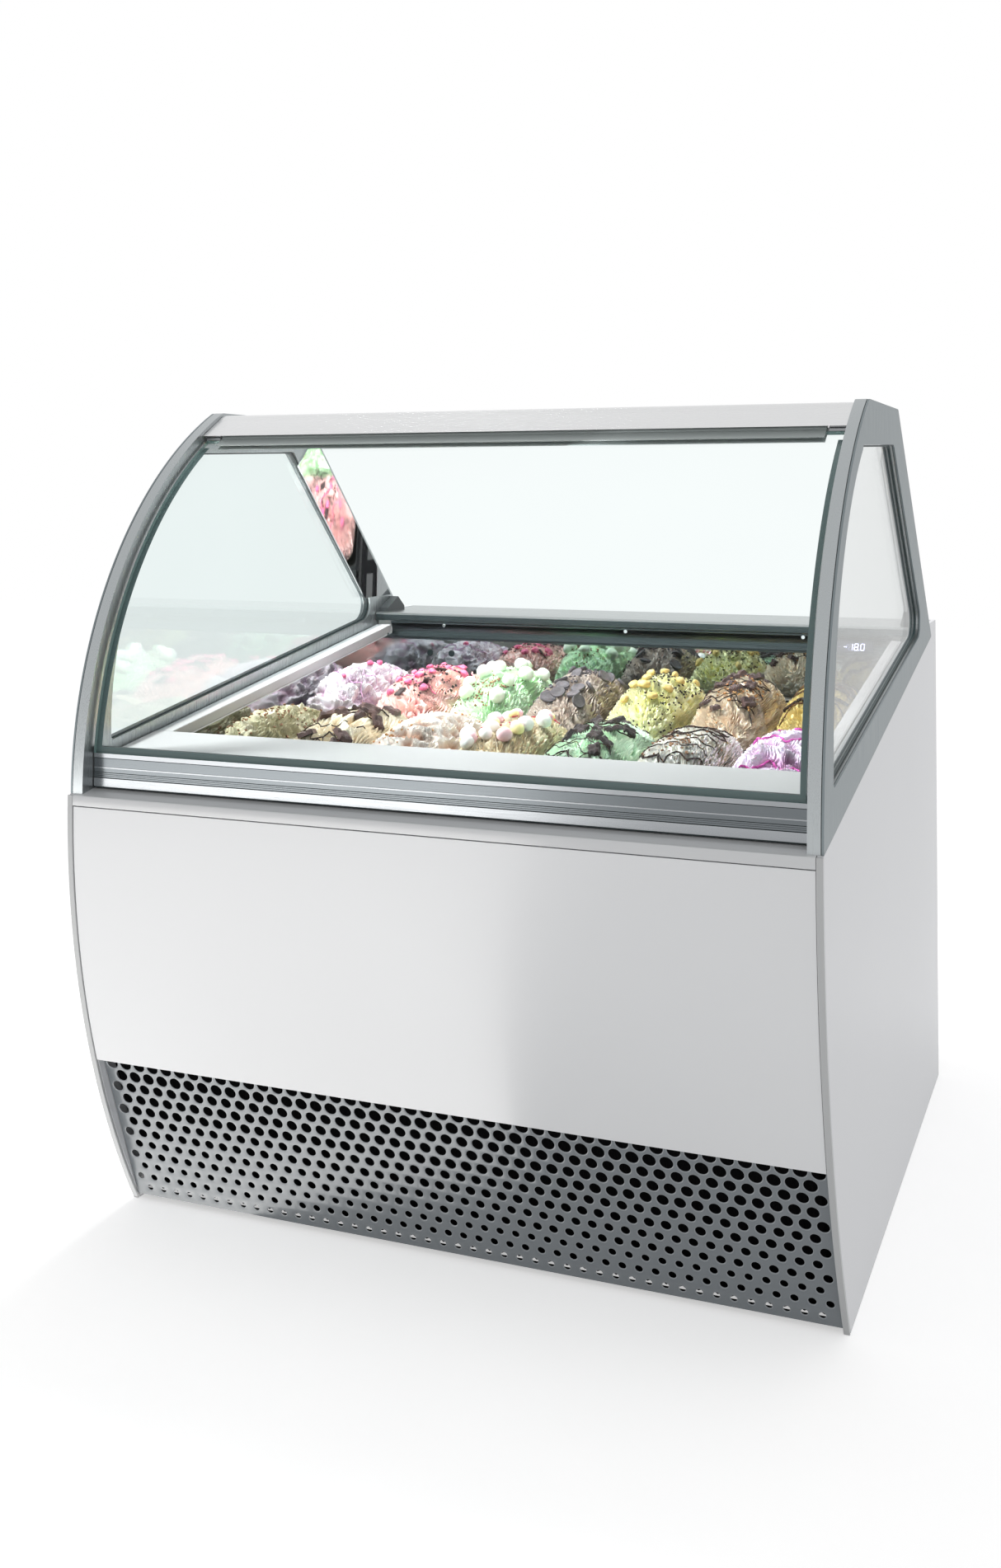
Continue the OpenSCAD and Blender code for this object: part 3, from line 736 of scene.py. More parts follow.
def frame_outline(inset=0.0):
    """Outer outline of a side frame, moved inwards by inset."""
    radius = FRAME_R - inset
    top_z = FRAME_HIGH.z - inset
    top_a = angle_at(FRAME_C, radius, top_z)
    before, front_top = on_arc(FRAME_C, radius, top_a + 6), on_arc(FRAME_C, radius, top_a)
    back_top = (BACK_TOP[0] - 0.41 * inset, top_z)
    back_foot = (BACK_FOOT[0] - 1.9 * inset, BACK_FOOT[1] + 0.7 * inset)
    front_foot = (FRAME_C[0] - radius, sill(FRAME_C[0] - radius) + inset)
    return ([front_foot] + arc(FRAME_C, radius, 180, top_a + 2, 44)
            + corner(before, front_top, back_top, 18 * MM, 5)
            + corner(front_top, back_top, back_foot, 14 * MM, 6)
            + corner(back_top, back_foot, front_foot, 10 * MM, 5))


def window_outline(outset=0.0):
    """Outline of a side window, moved outwards by outset."""
    radius = WINDOW_R + outset
    low_back = (PROFILE_Y + 873 * MM + 2.2 * outset, 992 * MM - 0.8 * outset)
    high_back = (PROFILE_Y + 493 * MM + 0.4 * outset, 1366 * MM + outset)
    low_front = (PROFILE_Y - 107 * MM - outset, 842 * MM - outset)
    high_front = (PROFILE_Y + 165 * MM - outset * 0.5, 1355 * MM + outset)
    low_a = angle_at(WINDOW_C, radius, low_front[1] + 8 * MM)
    high_a = angle_at(WINDOW_C, radius, high_front[1] - 8 * MM)
    front = arc(WINDOW_C, radius, low_a, high_a, 40)
    return (corner(low_back, low_front, front[1], 6 * MM, 4) + front
            + corner(front[-2], high_front, high_back, 8 * MM, 4)
            + corner(high_front, high_back, low_back, 25 * MM + outset, 8)
            + corner(high_back, low_back, low_front, 35 * MM + outset, 8))


def make_frames(pale, grey, dark):
    """Each frame is an aluminium ring, an outer cover plate, a dark strip in the groove between them as
    painted shade, and a seal.
    """
    cover_x = FRAME_HIGH.x - 3.5 * MM
    joint_x = cover_x - 1.2 * MM
    seal_x = HALF_W - 11 * MM
    ring = prism(frame_outline(), FRAME_LOW.x, joint_x, window_outline())
    joint = prism(frame_outline(1.6 * MM), joint_x, cover_x, window_outline(1.2 * MM))
    cover = prism(frame_outline(0.3 * MM), cover_x, FRAME_HIGH.x, window_outline())
    seal = prism(window_outline(-0.5 * MM), seal_x - 8 * MM, seal_x + 2 * MM, window_outline(-3.5 * MM))
    for side in SIDES:
        piece = make_piece(f"side_frame_{side}_ring", *on_side(side, ring), [pale], slot="frame_aluminium",
                           replaces=[f"side_frame_{side}"])
        soften(piece, 1.0 * MM)
        piece = make_piece(f"side_frame_{side}_cover", *on_side(side, cover), [grey], slot="frame_aluminium")
        soften(piece, 1.0 * MM)
        # The strip in the groove between ring and cover is dark as painted shade
        make_piece(f"side_frame_{side}_joint", *on_side(side, joint), [dark], slot="gasket_rubber")
        make_piece(f"side_glass_{side}_seal", *on_side(side, seal), [dark], slot="gasket_rubber")


def make_front_glass(clear, border, edge_green):
    """The curved pane with green cut edges, and the border printed on its inner face."""
    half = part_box("front_glass")[1].x
    low_a, high_a = 174.8, 123.65
    verts, faces = bent_strip(FRAME_C, GLASS_R, GLASS_T, high_a, low_a, -half, half, 72)
    slots = []
    for face in faces:
        centre = np.mean([tuple(verts[i]) for i in face], axis=0)
        radius = math.hypot(centre[1] - FRAME_C[0], centre[2] - FRAME_C[1])
        is_end = GLASS_R - GLASS_T + 1 * MM < radius < GLASS_R - 1 * MM
        slots.append(int(len(face) > 4 or is_end))
    make_piece("front_glass_pane", verts, faces, [clear, edge_green], body="canopy_glass",
               slot="clear_glass", replaces=["front_glass"], face_slots=slots, sharp=30)
    # A band at each side, and one along the bottom between them
    inner, thick, band = GLASS_R - GLASS_T, 0.5 * MM, 10.5 * MM
    band_a, border_a = math.degrees(band / inner), high_a + 1.2
    parts = [bent_strip(FRAME_C, inner, thick, border_a, low_a, half - band, half, 72),
             bent_strip(FRAME_C, inner, thick, border_a, low_a, -half, -half + band, 72),
             bent_strip(FRAME_C, inner, thick, low_a - band_a, low_a, -half + band, half - band, 4)]
    make_piece("front_glass_border", *joined(parts), [border], body="canopy_glass", slot="clear_glass")


def make_top_bar(pale):
    """A rounded extrusion with a drip lip along its front edge."""
    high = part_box("top_bar")[1]
    radius = 752 * MM
    lip_y, lip_z, seat_z = PROFILE_Y + 166 * MM, 1387 * MM, 1392 * MM
    low_a, high_a = angle_at(FRAME_C, radius, lip_z), angle_at(FRAME_C, radius, high.z - 12 * MM)
    front = arc(FRAME_C, radius, low_a, high_a, 16)
    shoulder = corner(front[-2], (front[-1][0] + 17 * MM, high.z), (high.y, high.z), 26 * MM, 8)
    back = corner((front[0][0], high.z), (high.y, high.z), (high.y, seat_z), 8 * MM, 5)
    outline = front + shoulder + back + [(high.y, seat_z), (lip_y, seat_z), (lip_y, lip_z)]
    piece = make_piece("top_bar_profile", *prism(outline, -high.x, high.x), [pale], slot="bar_aluminium",
                       replaces=["top_bar"], sharp=40)
    soften(piece, 0.8 * MM)


def make_deck(pale, grey, dark):
    """The moulded rim: a front sill, two side rails with a darker outer band, and a dark shadow line."""
    back, half = DECK_HIGH.y, DECK_HIGH.x
    line_x = half - 13 * MM
    band_x = line_x + 0.8 * MM

    def slab(x0, x1, y0, y1, drop=0.0):
        """A thick strip whose top follows the rim's slope, lowered by drop."""
        thick = 20 * MM
        z0, z1 = deck(y0) - drop, deck(y1) - drop
        return prism([(y0, z0), (y1, z1), (y1, z1 - thick), (y0, z0 - thick)], x0, x1)

    front = slab(-half, half, DECK_LOW.y, WELL_FRONT)
    piece = make_piece("deck_rim_front", *front, [pale], slot="deck_plastic", replaces=["deck_rim"])
    soften(piece, 2.0 * MM, 3)
    for side in SIDES:
        rail = on_side(side, slab(WELL_HALF_W, line_x, WELL_FRONT, back))
        line = on_side(side, slab(line_x, band_x, WELL_FRONT, back, 3 * MM))
        band = on_side(side, slab(band_x, half, WELL_FRONT, back, 1.5 * MM))
        soften(make_piece(f"deck_rim_{side}", *rail, [pale], slot="deck_plastic"), 2.0 * MM, 3)
        make_piece(f"deck_rim_{side}_band", *band, [grey], slot="frame_aluminium")
        make_piece(f"deck_rim_{side}_line", *line, [dark], slot="gasket_rubber")


def make_well(liner, black):
    """The well's steel side linings above the pans, and the hemmed black sheet along its front."""
    low_z, rim_drop, t, hem = 640 * MM, 22 * MM, 0.8 * MM, 2 * MM
    front, back = WELL_FRONT + 0.2 * MM, MIRROR_LOW.y
    top_z = deck(front) - rim_drop
    hem_y = front + 3 * MM
    wall = prism([(front, low_z), (back, low_z), (back, deck(back) - rim_drop), (front, top_z)],
                 WELL_HALF_W - t, WELL_HALF_W)
    for side in SIDES:
        make_piece(f"well_lining_{side}", *on_side(side, wall), [liner], slot="tank_liner")
    sheet = [(front, low_z), (front + t, low_z), (front + t, top_z - hem), (hem_y, top_z - hem),
             (hem_y, top_z), (front, top_z)]
    make_piece("well_lining_front", *prism(sheet, -WELL_HALF_W + t, WELL_HALF_W - t), [black],
               slot="black_steel")


def make_counter(pale, grey):
    """The steel shelf behind the well, its wings behind the frames' feet, and its front lip, drawn in a
    darker steel as painted shade.
    """
    low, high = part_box("rear_counter")
    nose = corner((high.y, high.z), (low.y, high.z), (low.y, low.z), 5 * MM, 6)
    back = corner((high.y, low.z), (high.y, high.z), (low.y, high.z), 3 * MM, 4)
    outline = nose + [(low.y, low.z + 1 * MM), (low.y + 1.5 * MM, low.z), (high.y, low.z)] + back
    waist = FRAME_LOW.x - 1.5 * MM
    wing_y = PROFILE_Y + 1006 * MM
    wing_outline = [(wing_y, high.z), (wing_y, low.z), (high.y, low.z), (high.y, high.z - 0.2 * MM)]
    wing = prism(wing_outline, waist, high.x)
    verts, faces = joined([prism(outline, -waist, waist), wing, mirrored(wing)])
    lip_y, lip_z = low.y + 1 * MM, high.z - 4 * MM
    # The front lip's faces take the darker steel: painted shade
    slots = [int(all(verts[i][1] < lip_y and verts[i][2] < lip_z for i in face)) for face in faces]
    piece = make_piece("rear_counter_top", verts, faces, [pale, grey], slot="counter_steel",
                       replaces=["rear_counter"], face_slots=slots)
    soften(piece, 0.8 * MM)


def make_control_strip(steel, bright):
    """The cove between the counter and the back wall: a concave face with a bright bead above and below."""
    low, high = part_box("control_strip")
    y, top, bottom = low.y, high.z, low.z
    steps, depth = 14, 5.6 * MM
    face = [(y + 2 * MM + depth * math.sin(math.pi * i / steps) ** 0.8,
             top - 6 * MM - (top - bottom - 10 * MM) * i / steps) for i in range(steps + 1)]
    lip = [(y + 1 * MM, top), (y, top - 1.5 * MM), (y, top - 4.5 * MM), (y + 1.2 * MM, top - 6 * MM)]
    foot_z = bottom + 0.5 * MM
    outline = lip + face + [(y, foot_z + 3 * MM), (y, foot_z), (high.y, foot_z), (high.y, top)]
    make_piece("control_strip_cove", *prism(outline, -high.x, high.x), [steel], slot="strip_steel",
               replaces=["control_strip"], sharp=45)
    bead_r = 1.2 * MM
    beads = [prism(arc((y + bead_r, bead_z), bead_r, 0, 345, 16), -high.x, high.x)
             for bead_z in (bottom + bead_r, top - 2.4 * MM)]
    make_piece("control_strip_bead", *joined(beads), [bright], slot="strip_steel")


def make_wall_details(dark):
    """Two sensor holes on the polished back wall, each a thin dark disc on its face."""
    parts = []
    y, z = MIRROR_LOW.y - 0.3 * MM, 905 * MM
    for x in (-485 * MM, -430 * MM):
        verts, faces = wafer(7.5 * MM, 0.5 * MM, 32)
        place = Matrix.Translation((x, y, z)) @ Matrix.Rotation(math.pi / 2, 4, "X")
        parts.append(([place @ Vector(v) for v in verts], faces))
    make_piece("wall_sensor_holes", *joined(parts), [dark], slot="gasket_rubber")


# Each segment's two ends across and up the digit, and the segments of each sign
SEGMENTS = {"a": (0, 1, 1, 1), "b": (1, 0.5, 1, 1), "c": (1, 0, 1, 0.5), "d": (0, 0, 1, 0),
            "e": (0, 0, 0, 0.5), "f": (0, 0.5, 0, 1), "g": (0, 0.5, 1, 0.5)}
DIGITS = {"1": "bc", "8": "abcdefg", "0": "abcdef", "-": "g"}


def digit_bar(start, end, width, y, thick):
    """One lit bar of a digit: a flat prism with pointed ends."""
    way = (end - start).normalized()
    across = Vector((-way.z, 0, way.x)) * width / 2
    tip = way * width * 0.35
    start, end = start + tip, end - tip
    ring = [start - across, start - tip, start + across, end + across, end + tip, end - across]
    return loft([[(p.x, y + depth, p.z) for p in ring] for depth in (0, thick)])


def make_display(window, digits):
    """The temperature display: a window plate with seven-segment digits."""
    low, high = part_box("display")
    plate = block(low, (high.x, high.y + 1 * MM, high.z))
    piece = make_piece("display_window_plate", *plate, [window], slot="display_window", replaces=["display"])
    soften(piece, 0.5 * MM)
    height, width, stroke, thick, lean = 13 * MM, 7.2 * MM, 1.5 * MM, 0.3 * MM, 0.12
    x, y, z = low.x + 16 * MM, low.y - 0.2 * MM, (low.z + high.z) / 2 - height / 2
    parts = []
    for letter in "-18.0":
        if letter == ".":
            dot_x, dot_z = x - 2.2 * MM, z - 0.5 * MM
            parts.append(block((dot_x, y, dot_z), (dot_x + stroke, y + thick, dot_z + stroke)))
            x += 1.8 * MM
            continue
        for key in DIGITS[letter]:
            u0, v0, u1, v1 = SEGMENTS[key]
            start, end = (Vector((x + u * width + v * height * lean, 0, z + v * height))
                          for u, v in ((u0, v0), (u1, v1)))
            parts.append(digit_bar(start, end, stroke, y, thick))
        x += width + 4.2 * MM
    make_piece("display_digits", *joined(parts), [digits], slot="display_window")


# ---- pans ----


def rounded_ring(half_x, half_y, radius, z, steps=5):
    """A ring of points round a rounded rectangle."""
    ring = []
    for sx, sy, start in ((1, 1, 0), (-1, 1, 90), (-1, -1, 180), (1, -1, 270)):
        centre = (sx * (half_x - radius), sy * (half_y - radius))
        ring += [(*on_arc(centre, radius, start + 90 * i / steps), z) for i in range(steps + 1)]
    return ring


def loft(rings):
    """Verts and faces of a closed shape through a stack of rings."""
    verts = [p for ring in rings for p in ring]
    n = len(rings[0])
    last = len(verts) - n
    faces = [(k + i, k + (i + 1) % n, k + n + (i + 1) % n, k + n + i)
             for k in range(0, last, n) for i in range(n)]
    return verts, faces + [tuple(range(last, last + n)), tuple(reversed(range(n)))]


# The rows of pans lean with the rim, and each pan is lifted straight out of its row
LIFT_AXIS = [joint["axis"] for joint in frame["joints"] if joint["name"] == "tub_front_1_lift"][0]
TILT = math.atan2(-LIFT_AXIS[1], LIFT_AXIS[2])
PAN_HALF = (82.5 * MM, 180 * MM)


def pan_place(row, column):
    """Matrix from a pan's own space, its origin at the middle of its flange's top, to the row frame."""
    low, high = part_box(f"pan_{row}_{column}")
    y = low.y + PAN_HALF[1] * math.cos(TILT)
    z = high.z - PAN_HALF[1] * math.sin(TILT)
    return Matrix.Translation(((low.x + high.x) / 2, y, z)) @ Matrix.Rotation(TILT, 4, "X")


def pan_shape():
    """A pressed pan: rolled flange, rounded corners and walls, and a flat bottom."""
    profile = [  # distance inside the flange's edge, corner radius and height, from underneath to inside
        (19.5, 12, -150), (10.2, 14, -141), (8, 12, -30), (8, 12, -2.6), (0.6, 10, -4.0), (0.2, 10, -2.2),
        (0.8, 10, -0.6), (2.4, 10, 0.0), (6.4, 12, -0.5), (8.6, 12, -3.0), (9.5, 12, -30), (11.5, 14, -140),
        (20, 12, -148.6)]
    return loft([rounded_ring(PAN_HALF[0] - inset * MM, PAN_HALF[1] - inset * MM, radius * MM, z * MM)
                 for inset, radius, z in profile])


def make_pans(steel):
    verts, faces = pan_shape()
    for row in ("front", "rear"):
        for column in range(1, 8):
            place = pan_place(row, column)
            moved = [place @ Vector(v) for v in verts]
            # The pans' very dark steel is painted shade between the mounds
            make_piece(f"pan_{row}_{column}_shell", moved, faces, [steel], body=f"tub_{row}_{column}",
                       slot="pan_steel", replaces=[f"pan_{row}_{column}"], sharp=50)


# ---- ice cream ----


def lattice(ix, iy, iz, seed):
    """A repeatable random value from 0 to 1 at each whole-numbered point."""
    h = (ix * 374761393 + iy * 668265263 + iz * 1274126177 + seed * 974634777) & 0xFFFFFFFF
    h = ((h ^ (h >> 13)) * 1274126177) & 0xFFFFFFFF
    h = ((h ^ (h >> 16)) * 2246822519) & 0xFFFFFFFF
    return ((h ^ (h >> 15)) & 0xFFFFFF) / float(0xFFFFFF)


def value_noise(points, seed):
    """Smooth noise from -1 to 1 at each point."""
    cell = np.floor(points).astype(np.int64)
    f = points - cell
    u = f * f * f * (f * (f * 6 - 15) + 10)
    total = np.zeros(len(points))
    for step in np.ndindex(2, 2, 2):
        wx, wy, wz = (u[:, k] if step[k] else 1 - u[:, k] for k in range(3))
        total += wx * wy * wz * lattice(*(cell + step).T, seed)
    return total * 2 - 1


def layered_noise(points, seed, octaves=3, gain=0.5):
    total, weight = np.zeros(len(points)), 0.0
    for k in range(octaves):
        total += gain ** k * value_noise(points * 2.03 ** k, seed + 31 * k)
        weight += gain ** k
    return total / weight


def folds(points, seed, count, warp, sharpness=0.14):
    """Overlapping spatula folds: each rises slowly and drops quickly at its edge."""
    bend = np.stack([layered_noise(points * 9.0 + k * 17.0, seed + k, 2) for k in range(3)], 1) * warp
    q = points + bend
    turn = value_noise(points * 5.0, seed + 9) * 1.1
    across = q[:, 1] * np.cos(turn) + q[:, 0] * np.sin(turn) + 0.45 * q[:, 2]
    phase = count * across + 2.0 * value_noise(points * 7.0, seed + 5)
    part = phase - np.floor(phase)
    rise = np.clip(part / (1 - sharpness), 0, 1) ** 0.75
    drop = np.clip((part - (1 - sharpness)) / sharpness, 0, 1)
    return rise * (1 - drop * drop * (3 - 2 * drop))


def mound_grid(row, around=336, rings=92):
    """A long dome in a pan's own space: points, faces and outward normals."""
    rise = (70 if row == "front" else 88) * MM
    half_x, half_y = 79 * MM, 176 * MM
    squareness = 2 / 3.3
    theta = np.linspace(0, 2 * math.pi, around, endpoint=False)
    x, y = (np.sign(way) * np.abs(way) ** squareness for way in (np.cos(theta), np.sin(theta)))
    r = np.sin(np.linspace(0, math.pi / 2, rings + 1))[1:, None]
    height = (1 - r ** 2.3) ** 0.62 + 0 * x
    points = np.stack([(half_x * r * x).ravel(), (half_y * r * y).ravel(), (rise * height).ravel()], 1)
    points = np.vstack([points, [[0, 0, rise]]])
    faces = []
    for k in range(0, (rings - 1) * around, around):
        for i in range(around):
            j = (i + 1) % around
            faces.append((k + i, k + j, k + around + j, k + around + i))
    pole = rings * around
    faces += [(pole, (i + 1) % around, i) for i in range(around)]
    normals = (points + [0, 0, 18 * MM]) / np.square([half_x, half_y, rise])
    return points, faces, normals / np.linalg.norm(normals, axis=1)[:, None]


def held(values, limit):
    """Values that bend smoothly towards a limit and never pass it."""
    return values / (1 + np.abs(values / limit) ** 8) ** (1 / 8)


def sculpt(points, normals, style, seed, rise):
    """Moves the dome's points into folds, peaks or crumbs, and returns a 0..1 value of how raised each is."""
    p = points.copy()
    p[:, 0] += 0.31 * seed
    shape = layered_noise(p * 11.0, seed + 100, 2)

    def fold(shift, count, warp, sharpness=0.14):
        return folds(p, seed + shift, count, warp, sharpness) - 0.5

    if style == "folds":
        relief = fold(0, 15.0, 0.06)
        move = 19 * relief + 5 * fold(40, 41.0, 0.03, 0.2)
    elif style == "swirls":
        relief = fold(0, 24.0, 0.075, 0.22)
        move = 15 * relief + 2.2 * layered_noise(p * 90.0, seed + 7, 3)
    elif style == "peaks":
        relief = np.clip(1 - np.abs(layered_noise(p * 38.0, seed, 2)) * 3.2, -0.9, 1)
        move = 8.5 * relief + 6 * fold(3, 16.0, 0.05)
    elif style == "smooth":
        relief = fold(0, 14.0, 0.07, 0.16)
        move = 18 * relief + 4 * fold(40, 30.0, 0.03, 0.3)
    else:
        relief = layered_noise(p * 55.0, seed, 4, 0.6)
        move = 13 * relief + 9 * fold(3, 14.0, 0.06)
    grain = 0.5 * layered_noise(p * 240.0, seed + 77, 2)
    footing = np.clip(points[:, 2] / (22 * MM), 0, 1)
    moved = points + normals * ((move + 8 * shape + grain) * MM * (0.25 + 0.75 * footing))[:, None]
    moved[:, 0] = held(moved[:, 0], 80.5 * MM)
    moved[:, 1] = held(moved[:, 1], 177 * MM)
    moved[:, 2] = np.clip(moved[:, 2], -6 * MM, rise)
    level = (relief - relief.min()) / np.ptp(relief)
    return moved, 0.75 * level + 0.25 * np.clip(0.5 + shape, 0, 1)


# How far from its middle a mound takes toppings
SPOT_X, SPOT_Y = 66 * MM, 160 * MM


class Mound:
    """One pan's sculpted ice cream, which toppings are set on."""

    def __init__(self, row, column, style, seed):
        self.body = f"tub_{row}_{column}"
        self.place = pan_place(row, column)
        self.points, self.faces, self.normals = mound_grid(row)
        highest = (75 if row == "front" else 96) * MM
        self.points, self.fold = sculpt(self.points, self.normals, style, seed, highest)
        self.random = np.random.default_rng(seed)
        self.name = f"{row}_{column}"

    def build(self, material, slot):
        """Makes the piece, with each point's fold value, which its material uses to paint shade into the
        creases.
        """
        verts = [self.place @ Vector(p) for p in self.points]
        piece = make_piece(f"gelato_{self.name}_scoop", verts, self.faces, [material], body=self.body,
                           slot=slot, replaces=[f"gelato_{self.name}"], sharp=80)
        attribute = piece.data.attributes.new("fold", "FLOAT", "POINT")
        attribute.data.foreach_set("value", self.fold.astype(np.float32))

    def spot(self, x, y):
        """The surface point and its normal nearest above a place in the pan."""
        flat = (self.points[:, 0] - x) ** 2 + (self.points[:, 1] - y) ** 2
        near = np.argsort(flat)[:24]
        best = near[np.argmax(self.points[near, 2])]
        normal = self.normals[near[:12]].mean(0)
        return Vector(self.points[best]), Vector(normal / np.linalg.norm(normal))

    def spots(self, count, spread, apart):
        """Random places on the mound, kept apart from each other, in a limited number of tries."""
        chosen = []
        for _ in range(60 * count):
            if len(chosen) == count:
                break
            x = self.random.uniform(-1, 1) * SPOT_X * spread
            y = self.random.uniform(-1, 1) * SPOT_Y * spread
            if all(math.hypot(x - a, y - b) > apart for a, b in chosen):
                chosen.append((x, y))
        return [self.spot(x, y) for x, y in chosen]

    def scatter(self, name, shapes, material, slot):
        """Adds one piece made of several small shapes, given in the pan's own space."""
        verts, faces = joined(shapes)
        verts = [self.place @ Vector(v) for v in verts]
        make_piece(f"topping_{self.name}_{name}", verts, faces, [material], body=self.body, slot=slot,
                   sharp=40)


def placed_shape(verts, faces, at, normal, turn, sink=0.0):
    """A small shape set on a surface, turned about its normal and sunk into it."""
    up = normal.to_track_quat("Z", "Y").to_matrix().to_4x4()
    matrix = Matrix.Translation(at - normal * sink) @ up @ Matrix.Rotation(turn, 4, "Z")
    return [matrix @ Vector(v) for v in verts], faces


def chunk(random, size):
    """A broken block of chocolate with two rows of squares."""
    sx, sy, sz = size
    bm = bmesh.new()
    bmesh.ops.create_grid(bm, x_segments=6, y_segments=4, size=0.5)
    for v in bm.verts:
        gx, gy = abs(v.co.x), abs(v.co.y)
        groove = 0.28 if (gx < 0.05 or gy < 0.05) else 0.0
        rim = 0.22 if (gx > 0.45 or gy > 0.45) else 0.0
        v.co = Vector((v.co.x * sx * (1 - rim * 0.2), v.co.y * sy * (1 - rim * 0.2), sz * (1 - groove - rim)))
    made = bmesh.ops.extrude_edge_only(bm, edges=[e for e in bm.edges if e.is_boundary])
    for v in (g for g in made["geom"] if isinstance(g, bmesh.types.BMVert)):
        v.co = Vector((v.co.x * 1.12, v.co.y * 1.12, 0))
    bmesh.ops.contextual_create(bm, geom=[e for e in bm.edges if e.is_boundary])
    cut = random.uniform(-0.3, 0.3)
    for v in bm.verts:
        v.co.x += v.co.y * cut + random.uniform(-0.6, 0.6) * MM
        v.co.y += random.uniform(-0.6, 0.6) * MM
        v.co.z += random.uniform(-0.3, 0.3) * MM
    return taken_out(bm)


def wafer(radius, thick, sides=28):
    """A round wafer with a rounded edge and a shallow dish."""
    profile = [(0.94, 0), (1, 0.3), (1, 0.75), (0.94, 1), (0.7, 0.93), (0.3, 0.8)]
    turns = [2 * math.pi * i / sides for i in range(sides)]
    return loft([[(radius * r * math.cos(a), radius * r * math.sin(a), thick * z) for a in turns]
                 for r, z in profile])


def blob(random, size, lumps):
    """A lumpy ball, such as a marshmallow, a berry or a nut."""
    bm = bmesh.new()
    bmesh.ops.create_icosphere(bm, subdivisions=3, radius=1.0)
    ball, faces = taken_out(bm)
    points = np.array(ball)
    seed = int(random.integers(1, 10000))
    bulge = 1 + lumps * layered_noise(points * 1.3 + seed, seed, 2)
    return points * bulge[:, None] * np.array(size) / 2, faces


def crumb(random, size):
    """A tiny angular crumb."""
    corners = [Vector((sx, sy, sz)) for sx in (-1, 1) for sy in (-1, 1) for sz in (0, 1.2)]
    return [corner_way * size * random.uniform(0.35, 0.65) for corner_way in corners], BOX_FACES


def add_chunks(mound, material, slot, count, size, sink=3.0, tilt=0.5):
    """Broken blocks that lean out of the ice cream."""
    random, shapes = mound.random, []
    for at, normal in mound.spots(count, 0.82, 26 * MM):
        lean = Vector([random.uniform(-tilt, tilt) for _ in range(3)])
        scale = random.uniform(0.75, 1.2) * MM
        verts, faces = chunk(random, [s * scale for s in size])
        turn = random.uniform(0, 6.3)
        shapes.append(placed_shape(verts, faces, at, (normal + lean).normalized(), turn, sink * MM))
    mound.scatter("chunks", shapes, material, slot)


def add_blobs(mound, material, slot, name, count, size, sink=0.3, lumps=0.18, apart=24):
    """Lumpy balls, sunk by a part of their height."""
    random, shapes = mound.random, []
    for at, normal in mound.spots(count, 0.8, apart * MM):
        scale = random.uniform(0.8, 1.15) * MM
        verts, faces = blob(random, [s * scale for s in size], lumps)
        lift = size[2] * scale * (0.5 - sink)
        shapes.append(placed_shape(verts, faces, at, normal, random.uniform(0, 6.3), -lift))
    mound.scatter(name, shapes, material, slot)


def add_wafers(mound, material, slot, count, radius):
    """Round wafers that lean every way."""
    random, shapes = mound.random, []
    for at, normal in mound.spots(count, 0.84, 25 * MM):
        lean = Vector([random.uniform(-0.6, 0.6) for _ in range(3)])
        verts, faces = wafer(radius * random.uniform(0.85, 1.1) * MM, 5.5 * MM)
        shapes.append(placed_shape(verts, faces, at, (normal + lean).normalized(), 0, 1.5 * MM))
    mound.scatter("wafers", shapes, material, slot)


def add_crumbs(mound, material, slot, name, count, size, clusters, reach=26):
    """Crumbs scattered in loose clusters."""
    random, shapes = mound.random, []
    centres = [(random.uniform(-48, 48) * MM, random.uniform(-130, 130) * MM) for _ in range(clusters)]
    for _ in range(count):
        cx, cy = centres[int(random.integers(0, clusters))]
        x = float(np.clip(cx + random.normal(0, reach) * MM, -SPOT_X, SPOT_X))
        y = float(np.clip(cy + random.normal(0, reach * 1.2) * MM, -SPOT_Y, SPOT_Y))
        at, normal = mound.spot(x, y)
        verts, faces = crumb(random, size * random.uniform(0.6, 1.3) * MM)
        shapes.append(placed_shape(verts, faces, at, normal, random.uniform(0, 6.3), 0.3 * MM))
    mound.scatter(name, shapes, material, slot)


def add_drizzle(mound, material, slot, count, width, swing=34, name="drizzle"):
    """Thin lines of sauce that run to and fro across the mound, following its surface."""
    random, shapes = mound.random, []
    steps, half = 46, 60 * MM
    for _ in range(count):
        start = random.uniform(-140, 120) * MM
        lean = random.uniform(-0.5, 0.5)
        phase = random.uniform(0, 6.3)
        line = []
        for i in range(steps + 1):
            t = i / steps
            x = half * (2 * t - 1)
            wave = 0.35 * swing * math.sin(phase + 5.0 * t) + 10 * math.sin(phase + 17 * t)
            y = start + lean * x + wave * MM
            at, normal = mound.spot(x, max(-SPOT_Y, min(SPOT_Y, y)))
            line.append(at + normal * 0.4 * MM)
        line = [(line[max(0, i - 1)] + line[i] + line[min(steps, i + 1)]) / 3 for i in range(steps + 1)]
        shapes.append(tube(line, width * random.uniform(0.7, 1.2) * MM / 2))
    mound.scatter(name, shapes, material, slot)


def tube(line, radius, sides=6):
    """A thin closed tube along a line of points, narrower at its ends."""
    last = len(line) - 1
    rings = []
    for i, point in enumerate(line):
        way = (line[min(last, i + 1)] - line[max(0, i - 1)]).normalized()
        side = way.orthogonal().normalized()
        other = way.cross(side)
        r = radius * (0.35 if i in (0, last) else 1.0)
        turns = [2 * math.pi * k / sides for k in range(sides)]
        rings.append([point + (side * math.cos(a) + other * math.sin(a)) * r for a in turns])
    return loft(rings)


# ---- flavours ----

